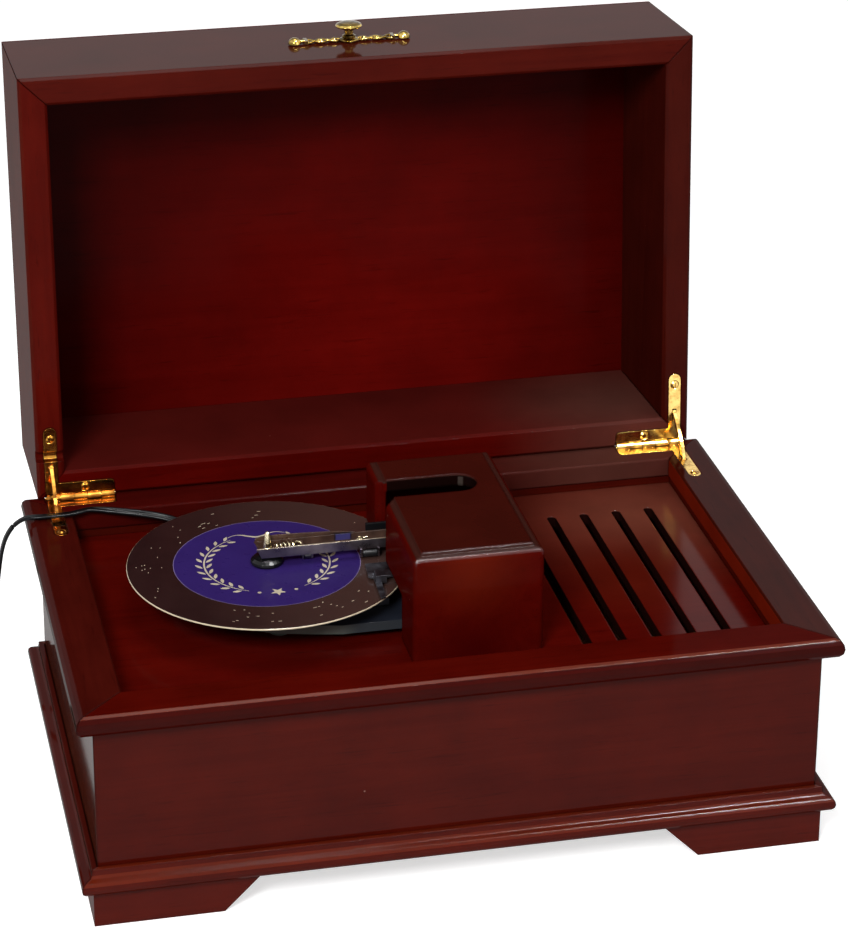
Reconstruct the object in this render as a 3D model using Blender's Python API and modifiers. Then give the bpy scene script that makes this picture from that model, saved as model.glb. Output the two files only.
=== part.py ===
"""Disc music box in a lacquered case, standing with its lid open.

Metres, +Z up, the front towards -Y. Pieces are laid out from the middle of the top frame, and one empty
then moves them so that the origin is the middle of the footprint of the box with its lid open.
"""

from math import asin, cos, degrees, pi, radians, sin, sqrt

import bmesh
import bpy
from mathutils import Matrix, Vector

# Clearance between pieces that touch
GAP = 0.0003

# Top frame: four mitred rails round the tray, with a bullnose outside and a lip down to the deck inside
FRAME_W = 0.305
FRAME_D = 0.197
FRAME_T = 0.0083
FRAME_TOP = 0.0938
RAIL_W = 0.0200
NOSE = 0.0032
OVERHANG = 0.0070

# Case below the frame
WALL_T = 0.0120
FOOT_H = 0.0160
FOOT_PROUD = 0.0022
FOOT_T = 0.0120
FOOT_LEN = 0.0512
PLINTH_H = 0.0095
PLINTH_PROUD = 0.0070
LEDGE_PROUD = 0.0025
LEDGE_T = 0.0010
COVE_PROUD = 0.0046
COVE_H = 0.0026
BOTTOM_T = 0.0045
BOTTOM_UP = 0.0008

# Tray deck and its sound slots
DECK_TOP = 0.0817
DECK_T = 0.0050
SLOT_COUNT = 5
SLOT_W = 0.0040
SLOT_PITCH = 0.0145
SLOT_LAST_IN = 0.0169
SLOT_FRONT_Y = -0.0600
SLOT_BACK_Y = 0.0566

# Lid, measured shut: depth runs forward from the hinge axis, height up from the rim
RIM_SET_BACK = 0.0070
LID_W = FRAME_W - 2 * RIM_SET_BACK
LID_D = 0.1865
LID_H = 0.0730
LID_TOP_T = 0.0067
LID_WALL_T = 0.0120
LID_ROUND = 0.0062
RIM_ROUND = 0.0012
LID_OPEN = radians(94.0)
HINGE_INSET = 0.0055
HINGE_LIFT = 0.0006

# Stay hinges: L-shaped leaves let into frame and rim, and a stay pinned in the lid leaf
LEAF_T = 0.0012
LEAF_W = 0.0054
LEAF_FROM_SIDE = 0.0063
LEAF_MID_X = LID_W / 2 - LEAF_FROM_SIDE
LEAF_BACK_LEN = 0.0295
LEAF_BACK_W = 0.0046
LEAF_SIDE_LEN = 0.0344
LID_LEAF_SIDE_LEN = LEAF_SIDE_LEN - 0.0020
KNUCKLE_R = 0.0019
KNUCKLES = 5
PIN_R = 0.0008
STAY_T = 0.0014
STAY_W = 0.0026
STAY_LEN = 0.0235
STAY_BOW = 0.0010
STAY_EYE_R = 0.0015
STAY_PIN_R = 0.0005
STAY_PIN_OUT = 0.0140
STAY_TURN = radians(45.4)
LID_SLOT_NEAR = 0.0108
LID_SLOT_FAR = 0.0159
BASE_SLOT_NEAR = 0.0118
BASE_SLOT_FAR = 0.0178
MORTISE_FAR = 0.0212
MORTISE_DEEP = 0.0245

# Screws in the hinge leaves
SCREW_HEAD_R = 0.00175
SCREW_SHANK_R = 0.0007
SCREW_SINK = 0.0009
SCREW_DOME = 0.00045
SCREW_LEN = 0.0070
SCREW_FROM_END = 0.0035

# Knob and its backplate on the lid's front wall
PLATE_LEN = 0.0545
PLATE_T = 0.0014
FINIAL_R = 0.0027
PLATE_HEIGHT = 0.0295
KNOB_R = 0.00575
KNOB_H = 0.0086

# Cover over the working end of the movement
COVER_LEFT = -0.0140
COVER_W = 0.0532
COVER_FRONT = -0.0601
COVER_L = 0.0940
COVER_TOP = 0.1285
COVER_WALL = 0.0040
COVER_PANEL_INSET = 0.0037
COVER_PANEL_H = 0.0011
COVER_ROUND = 0.0026
COVER_CORNER = 0.0020
COVER_SLOT_W = 0.0158
COVER_SLOT_SIDE = 0.0019
COVER_SLOT_LEN = 0.0405
COVER_MOUTH = 0.0030
OPENING_FRONT = -0.0386
OPENING_TOP = 0.1015

# Disc and what turns it
HUB_X = -0.0611
HUB_Y = 0.0054
DISC_R = 0.0575
DISC_T = 0.0006
DISC_UNDER = 0.0986
SPINDLE_R = 0.0029
PLATTER_R = 0.0120
CAP_R = 0.00685
CAP_H = 0.0034
CAP_ROOF = 0.0008
GEAR_TEETH = 36
PINION_TEETH = 9
MODULE = 0.00067
GEAR_T = 0.0020
BACKLASH = 0.00015
MOTOR_R = 0.0120
MOTOR_H = 0.0190
MOTOR_ROOM = 0.0015
MOTOR_BEARING = radians(135.0)

# Bedplate, comb and star wheels
BED_T = 0.0040
BED_LIFT = 0.0036
BED_FOOT_R = 0.0040
BED_LEFT = -0.0998
BED_RIGHT = 0.0322
BED_FRONT = -0.0362
BED_BACK = 0.0279
BED_CURVE = (
    (0.0, 0.0400),
    (0.0040, 0.0320),
    (0.0100, 0.0245),
    (0.0170, 0.0180),
    (0.0240, 0.0130),
    (0.0290, 0.0100),
    (0.0335, 0.0073),
    (0.0400, 0.0050),
    (0.0480, 0.0030),
    (0.0550, 0.0014),
    (0.0620, 0.0),
)
STAR_R = 0.0036
STAR_T = 0.0010
STAR_COUNT = 15
STAR_PITCH = 0.0020
STAR_POINTS = 8
STAR_SHAFT_R = 0.0008
STAR_FIRST_X = -0.0453
COMB_SET_BACK = 0.0130
COMB_BASE_D = 0.0080
COMB_BASE_H = 0.0030
COMB_T = 0.0008
COMB_LEFT = -0.0588
TOOTH_W = 0.0013

# Pressure arm over the disc, laid out from its pivot
PIVOT_X = -0.0033
PIVOT_Z = 0.1053
ARM_REACH = 0.0625
ARM_TAIL = 0.0050
ARM_W = 0.0080
ARM_WALL = 0.0008
ARM_UP = 0.0021
ARM_DOWN = 0.0021
PIVOT_R = 0.0012
WINDOW_FAR = 0.0290
WINDOW_LEN = 0.0080
ROLLER_R = 0.0016
ROLLER_JOURNAL_R = 0.0005
INNER_ROLLER_X = -0.0443
INNER_ROLLER_W = 0.0024
OUTER_ROLLER_X = -0.0188
OUTER_ROLLER_W = 0.0058
OUTER_ROLLER_Y = 0.0017
STUD_H = 0.0076
SPRING_R = 0.0015
SPRING_WIRE = 0.0006
SPRING_LEN = 0.0085
SPRING_CURLS = 5
SPRING_X = -0.0577
LUG_X = -0.0468

# Black bracket that carries the arm
CHEEK_T = 0.0013
CHEEK_TOP = 0.1103
BRACKET_FOOT_X = -0.0006
BRACKET_FOOT_L = 0.0110
BRACKET_NOSE = 0.0060
REAR_HORN = 0.0155
HORN_H = 0.0042

# Disc guide: a steel strip that reaches out of the cover over the disc, with a finger at the disc's edge
GUIDE_Z = 0.1003
GUIDE_T = 0.0009
GUIDE_END_X = -0.0228
GUIDE_FRONT = -0.0199
GUIDE_BACK = -0.0078
FINGER_X = -0.0218
FINGER_W = 0.0030
FINGER_FRONT = -0.0377
CLIP_D = 0.0048
CLIP_H = 0.0026

# Lead: free stretch, coil and adapter
CORD_R = 0.0016
NOTCH_NEAR = 0.0169
NOTCH_FAR = 0.0217
NOTCH_DEEP = 0.0035
CLAMP_W = 0.0086
CLAMP_D = 0.0070
CLAMP_H = 0.0100
LEFT_EDGE = -FRAME_W / 2
COIL_TURNS = 14.25
COIL_LAYERS = 4
COIL_PITCH = 0.0037
COIL_MID_R = 0.0176
COIL_CENTRE = (LEFT_EDGE - 0.0515, 0.0560)
COIL_LOW_Z = 0.0017
RELIEF_L = 0.0275
RELIEF_R = 0.0034
ADAPTER_W = 0.0300
ADAPTER_L = 0.0460
ADAPTER_H = 0.0256
BLADE = (0.0016, 0.0165, 0.0063)
BLADE_SPREAD = 0.0127

# The lead's own points, from the clamp over the left rail and down to the coil
CORD_ROUTE = [
    (-0.0790, 0.0585, 0.0886),
    (-0.0806, 0.0601, 0.0886),
    (-0.0840, 0.0634, 0.0891),
    (-0.0873, 0.0663, 0.0901),
    (-0.0910, 0.0690, 0.0912),
    (-0.0960, 0.0713, 0.0921),
    (-0.1010, 0.0728, 0.0928),
    (-0.1055, 0.0738, 0.0934),
    (-0.1100, 0.0747, 0.0940),
    (LEFT_EDGE + 0.0383, 0.0755, 0.0945),
    (LEFT_EDGE + 0.0340, 0.0762, 0.0950),
    (LEFT_EDGE + 0.0303, 0.0767, 0.0954),
    (LEFT_EDGE + 0.0265, 0.0766, 0.0957),
    (LEFT_EDGE + 0.0225, 0.0751, 0.0958),
    (LEFT_EDGE + 0.0185, 0.0740, 0.0958),
    (LEFT_EDGE + 0.0140, 0.0736, 0.0958),
    (LEFT_EDGE + 0.0100, 0.0736, 0.0958),
    (LEFT_EDGE + 0.0060, 0.0740, 0.0957),
    (LEFT_EDGE + 0.0025, 0.0748, 0.0955),
    (LEFT_EDGE - 0.0005, 0.0756, 0.0948),
    (LEFT_EDGE - 0.0033, 0.0764, 0.0931),
    (LEFT_EDGE - 0.0057, 0.0770, 0.0908),
    (LEFT_EDGE - 0.0077, 0.0775, 0.0878),
    (LEFT_EDGE - 0.0094, 0.0778, 0.0840),
    (LEFT_EDGE - 0.0108, 0.0780, 0.0790),
    (LEFT_EDGE - 0.0120, 0.0781, 0.0720),
    (LEFT_EDGE - 0.0131, 0.0781, 0.0640),
    (LEFT_EDGE - 0.0141, 0.0781, 0.0550),
    (LEFT_EDGE - 0.0150, 0.0780, 0.0450),
    (LEFT_EDGE - 0.0160, 0.0779, 0.0350),
    (LEFT_EDGE - 0.0174, 0.0778, 0.0260),
    (LEFT_EDGE - 0.0197, 0.0778, 0.0175),
    (LEFT_EDGE - 0.0233, 0.0780, 0.0102),
    (LEFT_EDGE - 0.0280, 0.0785, 0.0053),
    (LEFT_EDGE - 0.0335, 0.0793, 0.0028),
    (LEFT_EDGE - 0.0390, 0.0800, 0.0019),
]

# Places that follow from the sizes above
FRAME_UNDER = FRAME_TOP - FRAME_T
AXIS_Y = FRAME_D / 2 - HINGE_INSET
AXIS_Z = FRAME_TOP + HINGE_LIFT
CASE_HALF_W = FRAME_W / 2 - OVERHANG
CASE_HALF_D = FRAME_D / 2 - OVERHANG
INSIDE_HALF_W = CASE_HALF_W - WALL_T - GAP
INSIDE_HALF_D = CASE_HALF_D - WALL_T - GAP
SLOT_FIRST_X = INSIDE_HALF_W - SLOT_LAST_IN - (SLOT_COUNT - 1) * SLOT_PITCH
BED_LOW = DECK_TOP + BED_LIFT
BED_TOP = BED_LOW + BED_T
DISC_TOP = DISC_UNDER + DISC_T
PITCH_R = MODULE * GEAR_TEETH / 2
PINION_PITCH_R = MODULE * PINION_TEETH / 2
CENTRES = PITCH_R + PINION_PITCH_R + BACKLASH
MOTOR_X = HUB_X + CENTRES * cos(MOTOR_BEARING)
MOTOR_Y = HUB_Y + CENTRES * sin(MOTOR_BEARING)
GEAR_LOW = BED_TOP + 0.0010
STAR_Z = DISC_UNDER - 2 * GAP - STAR_R
BED_FEET = (
    (HUB_X, BED_FRONT + 0.0140),
    (BED_LEFT + 0.0120, HUB_Y - 0.0064),
    (BED_LEFT + 0.0100, BED_BACK - 0.0075),
    (BED_RIGHT - 0.0075, BED_FRONT + 0.0140),
    (BED_RIGHT - 0.0075, BED_BACK - 0.0075),
)
BORE_R = PIN_R + GAP
GROOVE_R = KNUCKLE_R + GAP
PIVOT_BORE_R = PIVOT_R + GAP

# The open lid's rearmost line sets how far back the footprint reaches
LID_REAR = (
    AXIS_Y
    + (LID_H - LID_ROUND) * sin(LID_OPEN)
    - (LID_D - LID_ROUND) * cos(LID_OPEN)
    + LID_ROUND
)
FOOTPRINT_MID = (LID_REAR - FRAME_D / 2) / 2

# Every object is made afresh
for old in list(bpy.data.objects):
    bpy.data.objects.remove(old, do_unlink=True)

PARTS = bpy.data.collections.new("disc_music_box")
CUTTERS = bpy.data.collections.new("cutters")
CUTTERS.hide_render = True
bpy.context.scene.collection.children.link(PARTS)
bpy.context.scene.collection.children.link(CUTTERS)


def empty(name, location, rotation=(0, 0, 0), parent=None):
    """An axis or origin that pieces hang on."""
    made = bpy.data.objects.new(name, None)
    made.empty_display_size = 0.01
    made.location = location
    made.rotation_euler = rotation
    made.parent = parent
    PARTS.objects.link(made)
    return made


ORIGIN = empty("box_origin", (0, -FOOTPRINT_MID, 0))
LID_AXIS = empty("lid_axis", (0, AXIS_Y, AXIS_Z), (-LID_OPEN, 0, 0), ORIGIN)


def paint(colour, roughness, metallic=0.0):
    """Material settings for one piece."""
    return (colour, roughness, metallic)


MAHOGANY = paint((0.085, 0.012, 0.008), 0.15)
DARK_PLY = paint((0.110, 0.045, 0.025), 0.55)
BRASS = paint((0.83, 0.58, 0.20), 0.22, 1.0)
STEEL = paint((0.56, 0.56, 0.58), 0.28, 1.0)
DARK_STEEL = paint((0.23, 0.22, 0.24), 0.30, 1.0)
BLACK_METAL = paint((0.018, 0.020, 0.024), 0.40, 0.0)
BLACK_PLASTIC = paint((0.012, 0.012, 0.013), 0.35)
DISC_LACQUER = paint((0.075, 0.030, 0.026), 0.18, 0.4)
RUBBER = paint((0.015, 0.015, 0.016), 0.60)


def finish(obj, look):
    """Gives the object its own Principled material."""
    colour, roughness, metallic = look
    material = bpy.data.materials.new(obj.name)
    material.use_nodes = True
    shader = material.node_tree.nodes["Principled BSDF"]
    shader.inputs["Base Color"].default_value = (*colour, 1.0)
    shader.inputs["Roughness"].default_value = roughness
    shader.inputs["Metallic"].default_value = metallic
    material.diffuse_color = (*colour, 1.0)
    obj.data.materials.clear()
    obj.data.materials.append(material)
    return obj


def part(name, mesh, look, at=(0, 0, 0), turn=(0, 0, 0), parent=ORIGIN):
    """A named piece of the box."""
    obj = bpy.data.objects.new(name, mesh)
    obj.location = at
    obj.rotation_euler = turn
    obj.parent = parent
    PARTS.objects.link(obj)
    return finish(obj, look)


def tool(name, mesh, at=(0, 0, 0), turn=(0, 0, 0), parent=ORIGIN):
    """A shape that only cuts or joins."""
    obj = bpy.data.objects.new(name, mesh)
    obj.location = at
    obj.rotation_euler = turn
    obj.parent = parent
    obj.hide_render = True
    obj.display_type = "WIRE"
    CUTTERS.objects.link(obj)
    return obj


def boolean(obj, other, operation):
    modifier = obj.modifiers.new(other.name, "BOOLEAN")
    modifier.object = other
    modifier.operation = operation
    modifier.solver = "EXACT"


def cut(obj, *others):
    for other in others:
        boolean(obj, other, "DIFFERENCE")


def join(obj, *others):
    for other in others:
        boolean(obj, other, "UNION")


def smooth(mesh, angle=30.0):
    mesh.shade_smooth()
    mesh.set_sharp_from_angle(angle=radians(angle))
    return mesh


def mesh_of(bm):
    """Welds, turns the faces outwards and hands over the mesh."""
    bmesh.ops.remove_doubles(bm, verts=bm.verts, dist=1e-6)
    bmesh.ops.recalc_face_normals(bm, faces=bm.faces)
    mesh = bpy.data.meshes.new("shape")
    bm.to_mesh(mesh)
    bm.free()
    return mesh


def box(x, y, z):
    """A box from three (low, high) pairs."""
    bm = bmesh.new()
    bmesh.ops.create_cube(bm, size=1.0)
    for vert in bm.verts:
        for axis, (low, high) in enumerate((x, y, z)):
            vert.co[axis] = low if vert.co[axis] < 0 else high
    return mesh_of(bm)


ACROSS = {
    "z": Matrix.Identity(4),
    "x": Matrix(((0, 0, 1, 0), (1, 0, 0, 0), (0, 1, 0, 0), (0, 0, 0, 1))),
    "y": Matrix(((1, 0, 0, 0), (0, 0, -1, 0), (0, 1, 0, 0), (0, 0, 0, 1))),
}
ALONG = {
    "z": Matrix.Identity(4),
    "x": Matrix.Rotation(pi / 2, 4, "Y"),
    "y": Matrix.Rotation(-pi / 2, 4, "X"),
}


def rod(radius, low, high, along="z", sides=20, end_radius=None):
    """A cylinder or cone between two places on an axis."""
    bm = bmesh.new()
    bmesh.ops.create_cone(
        bm,
        cap_ends=True,
        segments=sides,
        radius1=radius,
        radius2=radius if end_radius is None else end_radius,
        depth=high - low,
        matrix=Matrix.Translation((0, 0, (low + high) / 2)),
    )
    bmesh.ops.transform(bm, matrix=ALONG[along], verts=bm.verts)
    return smooth(mesh_of(bm))


def curve_to_mesh(curve):
    """The welded mesh of a curve."""
    guide = bpy.data.objects.new("guide", curve)
    bpy.context.scene.collection.objects.link(guide)
    bpy.context.view_layer.update()
    graph = bpy.context.evaluated_depsgraph_get()
    mesh = bpy.data.meshes.new_from_object(guide.evaluated_get(graph))
    bpy.data.objects.remove(guide, do_unlink=True)
    bm = bmesh.new()
    bm.from_mesh(mesh)
    bpy.data.meshes.remove(mesh)
    return mesh_of(bm)


def plate(outlines, low, high, across="z"):
    """Outlines, the first outside and the others holes, made solid from low to high.

    Across z the outline is (x, y), across x it is (y, z), and across y it is (x, z).
    """
    curve = bpy.data.curves.new("outline", "CURVE")
    curve.dimensions = "2D"
    curve.fill_mode = "BOTH"
    curve.extrude = (high - low) / 2
    for outline in outlines:
        spline = curve.splines.new("POLY")
        spline.points.add(len(outline) - 1)
        for point, (a, b) in zip(spline.points, outline):
            point.co = (a, b, 0, 1)
        spline.use_cyclic_u = True
    mesh = curve_to_mesh(curve)
    middle = (low + high) / 2
    shift = {"z": (0, 0, middle), "x": (middle, 0, 0), "y": (0, middle, 0)}[across]
    mesh.transform(Matrix.Translation(shift) @ ACROSS[across])
    return mesh


def arc(centre, radius, start, end, steps, radius_b=None):
    """Points along an arc, or part of an ellipse, in degrees."""
    other = radius if radius_b is None else radius_b
    angles = [radians(start + (end - start) * i / steps) for i in range(steps + 1)]
    return [(centre[0] + radius * cos(a), centre[1] + other * sin(a)) for a in angles]


def circle(centre, radius, steps=24):
    return arc(centre, radius, 0, 360, steps)[:-1]


def rectangle(x0, x1, y0, y1):
    return [(x0, y0), (x1, y0), (x1, y1), (x0, y1)]


def lathe(name, profile, look, steps=28, at=(0, 0, 0), turn=(0, 0, 0), parent=ORIGIN, closed=False):
    """A turned piece round its own Z: the profile of (radius, height) runs down its outer side."""
    mesh = bpy.data.meshes.new(name)
    count = len(profile)
    edges = [(i, i + 1) for i in range(count - 1)]
    if closed:
        edges.append((count - 1, 0))
    mesh.from_pydata([(r, 0, z) for r, z in profile], edges, [])
    obj = part(name, mesh, look, at, turn, parent)
    screw = obj.modifiers.new("turn", "SCREW")
    screw.axis = "Z"
    screw.steps = steps
    screw.render_steps = steps
    screw.use_merge_vertices = True
    screw.merge_threshold = 0.00001
    screw.use_smooth_shade = True
    return obj


SIDES = {"front": 0, "right": 90, "back": 180, "left": 270}


def ring_piece(name, side, half_w, half_d, middle_y, profile, look, parent=ORIGIN, at=(0, 0)):
    """One side of a mitred ring. The profile is (distance in from the outer face, height)."""
    turn = radians(SIDES[side])
    half = half_w if side in ("front", "back") else half_d
    reach = half_d if side in ("front", "back") else half_w
    mesh = plate([profile], -1, 1, across="x")
    for vert in mesh.vertices:
        end = 1 if vert.co.x > 0 else -1
        vert.co.x = end * (half - vert.co.y - GAP * sqrt(0.5))
    outward = Vector((0, -reach, 0))
    outward.rotate(Matrix.Rotation(turn, 3, "Z"))
    place = (at[0] + outward.x, at[1] + middle_y + outward.y, 0)
    return part(name, mesh, look, place, (0, 0, turn), parent)


def make_case():
    """Mitred walls between the feet and the frame, and the bottom between them."""
    profile = rectangle(0, WALL_T, FOOT_H, FRAME_UNDER - GAP)
    walls = {}
    for side in SIDES:
        walls[side] = ring_piece(
            f"case_{side}_wall", side, CASE_HALF_W, CASE_HALF_D, 0, profile, MAHOGANY
        )
    low = FOOT_H + BOTTOM_UP
    bottom = box(
        (-INSIDE_HALF_W, INSIDE_HALF_W), (-INSIDE_HALF_D, INSIDE_HALF_D), (low, low + BOTTOM_T)
    )
    part("case_bottom_panel", bottom, DARK_PLY)
    return walls


def make_plinth():
    """Moulding round the foot of the case: ledge, cove and bullnose."""
    top = FOOT_H + PLINTH_H
    cove_top = top - LEDGE_T
    nose_top = cove_top - COVE_H
    nose_mid = (nose_top + FOOT_H) / 2
    nose_half = (nose_top - FOOT_H) / 2
    nose_deep = PLINTH_PROUD - COVE_PROUD
    cove_deep = COVE_PROUD - LEDGE_PROUD
    profile = [(-GAP, FOOT_H), (-GAP, top), (-LEDGE_PROUD, top), (-LEDGE_PROUD, cove_top)]
    profile += [
        (-COVE_PROUD + cove_deep * cos(radians(a)), cove_top - COVE_H * sin(radians(a)))
        for a in (30, 60, 90)
    ]
    profile += [
        (-COVE_PROUD - nose_deep * cos(radians(a)), nose_mid + nose_half * sin(radians(a)))
        for a in (60, 30, 0, -30, -60, -90)
    ]
    for side in SIDES:
        ring_piece(f"plinth_{side}", side, CASE_HALF_W, CASE_HALF_D, 0, profile, MAHOGANY)


def make_feet():
    """Bracket feet: an L on plan, each arm cut back at 45 degrees."""
    top = FOOT_H - GAP
    long_arm = FOOT_LEN + top
    for x_side, x_name in ((-1, "left"), (1, "right")):
        for y_side, y_name in ((-1, "front"), (1, "rear")):
            corner_x = x_side * (CASE_HALF_W + FOOT_PROUD)
            corner_y = y_side * (CASE_HALF_D + FOOT_PROUD)
            inner = [
                (0, 0),
                (long_arm, 0),
                (long_arm, FOOT_T),
                (FOOT_T, FOOT_T),
                (FOOT_T, long_arm),
                (0, long_arm),
            ]
            outline = [(corner_x - x_side * a, corner_y - y_side * b) for a, b in inner]
            name = f"foot_{y_name}_{x_name}"
            foot = part(name, plate([outline], 0, top), MAHOGANY)
            wedge = [
                (FOOT_LEN - 0.001, -0.001),
                (long_arm + 0.001, top + 0.001),
                (long_arm + 0.010, top + 0.001),
                (long_arm + 0.010, -0.001),
            ]
            wedge_x = [(corner_x - x_side * a, z) for a, z in wedge]
            wedge_y = [(corner_y - y_side * b, z) for b, z in wedge]
            near_y = sorted((corner_y + y_side * 0.002, corner_y - y_side * (FOOT_T + 0.002)))
            near_x = sorted((corner_x + x_side * 0.002, corner_x - x_side * (FOOT_T + 0.002)))
            cut(
                foot,
                tool(f"{name}_bevel_x", plate([wedge_x], *near_y, across="y")),
                tool(f"{name}_bevel_y", plate([wedge_y], *near_x, across="x")),
            )


def make_frame():
    """Top frame with its bullnose."""
    middle = (FRAME_TOP + FRAME_UNDER) / 2
    half = FRAME_T / 2
    soft = 0.0007
    profile = [
        (NOSE - NOSE * cos(radians(a)), middle + half * sin(radians(a)))
        for a in (-90, -60, -30, 0, 30, 60, 90)
    ]
    profile += [
        (RAIL_W - soft, FRAME_TOP),
        (RAIL_W, FRAME_TOP - soft),
        (RAIL_W, FRAME_UNDER),
    ]
    rails = {}
    for side in SIDES:
        rails[side] = ring_piece(
            f"frame_{side}_rail", side, FRAME_W / 2, FRAME_D / 2, 0, profile, MAHOGANY
        )
    return rails


def slot_outline(x, y0, y1, width):
    """A slot along Y with round ends."""
    r = width / 2
    return arc((x, y0 + r), r, 180, 360, 6) + arc((x, y1 - r), r, 0, 180, 6)


def make_deck():
    """Floor of the tray, with the sound slots and the hole that the motor hangs in."""
    outlines = [
        rectangle(-INSIDE_HALF_W, INSIDE_HALF_W, -INSIDE_HALF_D, INSIDE_HALF_D),
        circle((MOTOR_X, MOTOR_Y), MOTOR_R + MOTOR_ROOM, 28),
    ]
    for i in range(SLOT_COUNT):
        x = SLOT_FIRST_X + i * SLOT_PITCH
        outlines.append(slot_outline(x, SLOT_FRONT_Y, SLOT_BACK_Y, SLOT_W))
    part("tray_deck", plate(outlines, DECK_TOP - DECK_T, DECK_TOP), MAHOGANY)


def stacked(x, y, corner, levels):
    """A rectangular block built up from levels of (distance in from the outline, height)."""
    bm = bmesh.new()
    rings = []
    for inset, height in levels:
        x0, x1 = x[0] + inset, x[1] - inset
        y0, y1 = y[0] + inset, y[1] - inset
        if corner:
            r = max(corner - inset, 0.0003)
            outline = arc((x1 - r, y0 + r), r, -90, 0, 4) + arc((x1 - r, y1 - r), r, 0, 90, 4)
            outline += arc((x0 + r, y1 - r), r, 90, 180, 4) + arc((x0 + r, y0 + r), r, 180, 270, 4)
        else:
            outline = rectangle(x0, x1, y0, y1)
        rings.append([bm.verts.new((a, b, height)) for a, b in outline])
    for lower, upper in zip(rings, rings[1:]):
        count = len(lower)
        for i in range(count):
            j = (i + 1) % count
            bm.faces.new((lower[i], lower[j], upper[j], upper[i]))
    bm.faces.new(list(reversed(rings[0])))
    bm.faces.new(rings[-1])
    return smooth(mesh_of(bm), 35)


def rounded_levels(low, high, radius, steps):
    """Levels of a block with a rounded top edge."""
    levels = [(0, low)]
    for i in range(steps + 1):
        angle = radians(90 * i / steps)
        levels.append((radius - radius * cos(angle), high - radius + radius * sin(angle)))
    return levels


def make_cover():
    """Hollow wooden cover with a raised panel, a slot for the arm and an opening for disc and bedplate."""
    right = COVER_LEFT + COVER_W
    back = COVER_FRONT + COVER_L
    low = DECK_TOP + GAP
    step = COVER_TOP - COVER_PANEL_H
    levels = rounded_levels(low, step, COVER_ROUND, 3)
    levels += [
        (COVER_PANEL_INSET, step),
        (COVER_PANEL_INSET + 0.0002, COVER_TOP - 0.0003),
        (COVER_PANEL_INSET + 0.0005, COVER_TOP),
    ]
    block = stacked((COVER_LEFT, right), (COVER_FRONT, back), COVER_CORNER, levels)
    cover = part("movement_cover", block, MAHOGANY)
    wall = COVER_WALL
    hollow = box(
        (COVER_LEFT + wall, right - wall),
        (COVER_FRONT + wall, back - wall),
        (low - 0.001, COVER_TOP - wall - COVER_PANEL_H),
    )
    half = COVER_SLOT_W / 2
    end_x = COVER_LEFT + COVER_SLOT_LEN - half
    mouth = COVER_MOUTH
    middle = HUB_Y - COVER_SLOT_SIDE
    slot = [(COVER_LEFT - 0.001, middle - half - mouth)]
    slot += [
        (COVER_LEFT + mouth * sin(radians(a)), middle - half - mouth * cos(radians(a)))
        for a in (0, 30, 60, 90)
    ]
    slot += arc((end_x, middle), half, -90, 90, 10)
    slot += [
        (COVER_LEFT + mouth * sin(radians(a)), middle + half + mouth * cos(radians(a)))
        for a in (90, 60, 30, 0)
    ]
    slot.append((COVER_LEFT - 0.001, middle + half + mouth))
    arm_slot = plate([slot], OPENING_TOP - 0.002, COVER_TOP + 0.001)
    opening = box(
        (COVER_LEFT - 0.001, COVER_LEFT + wall + 0.001),
        (OPENING_FRONT, HUB_Y),
        (low - 0.001, OPENING_TOP),
    )
    disc_room = rod(DISC_R + 0.0020, low - 0.001, OPENING_TOP, sides=56)
    cut(
        cover,
        tool("cover_hollow", hollow),
        tool("cover_arm_slot", arm_slot),
        tool("cover_opening", opening),
        tool("cover_disc_room", disc_room, (HUB_X, HUB_Y, 0)),
    )


def make_lid():
    """Lid on its axis, as if shut: rim at height 0, depth towards -Y."""
    r = RIM_ROUND
    profile = [
        (r, 0),
        (LID_WALL_T - r, 0),
        (LID_WALL_T, r),
        (LID_WALL_T, LID_H - LID_TOP_T - GAP),
        (0, LID_H - LID_TOP_T - GAP),
        (0, r),
    ]
    walls = {}
    for side in SIDES:
        walls[side] = ring_piece(
            f"lid_{side}_wall",
            side,
            LID_W / 2,
            LID_D / 2,
            -LID_D / 2,
            profile,
            MAHOGANY,
            LID_AXIS,
        )
    levels = rounded_levels(LID_H - LID_TOP_T, LID_H, LID_ROUND, 6)
    top = stacked((-LID_W / 2, LID_W / 2), (-LID_D, 0), 0, levels)
    part("lid_top_panel", top, MAHOGANY, parent=LID_AXIS)
    return walls


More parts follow.
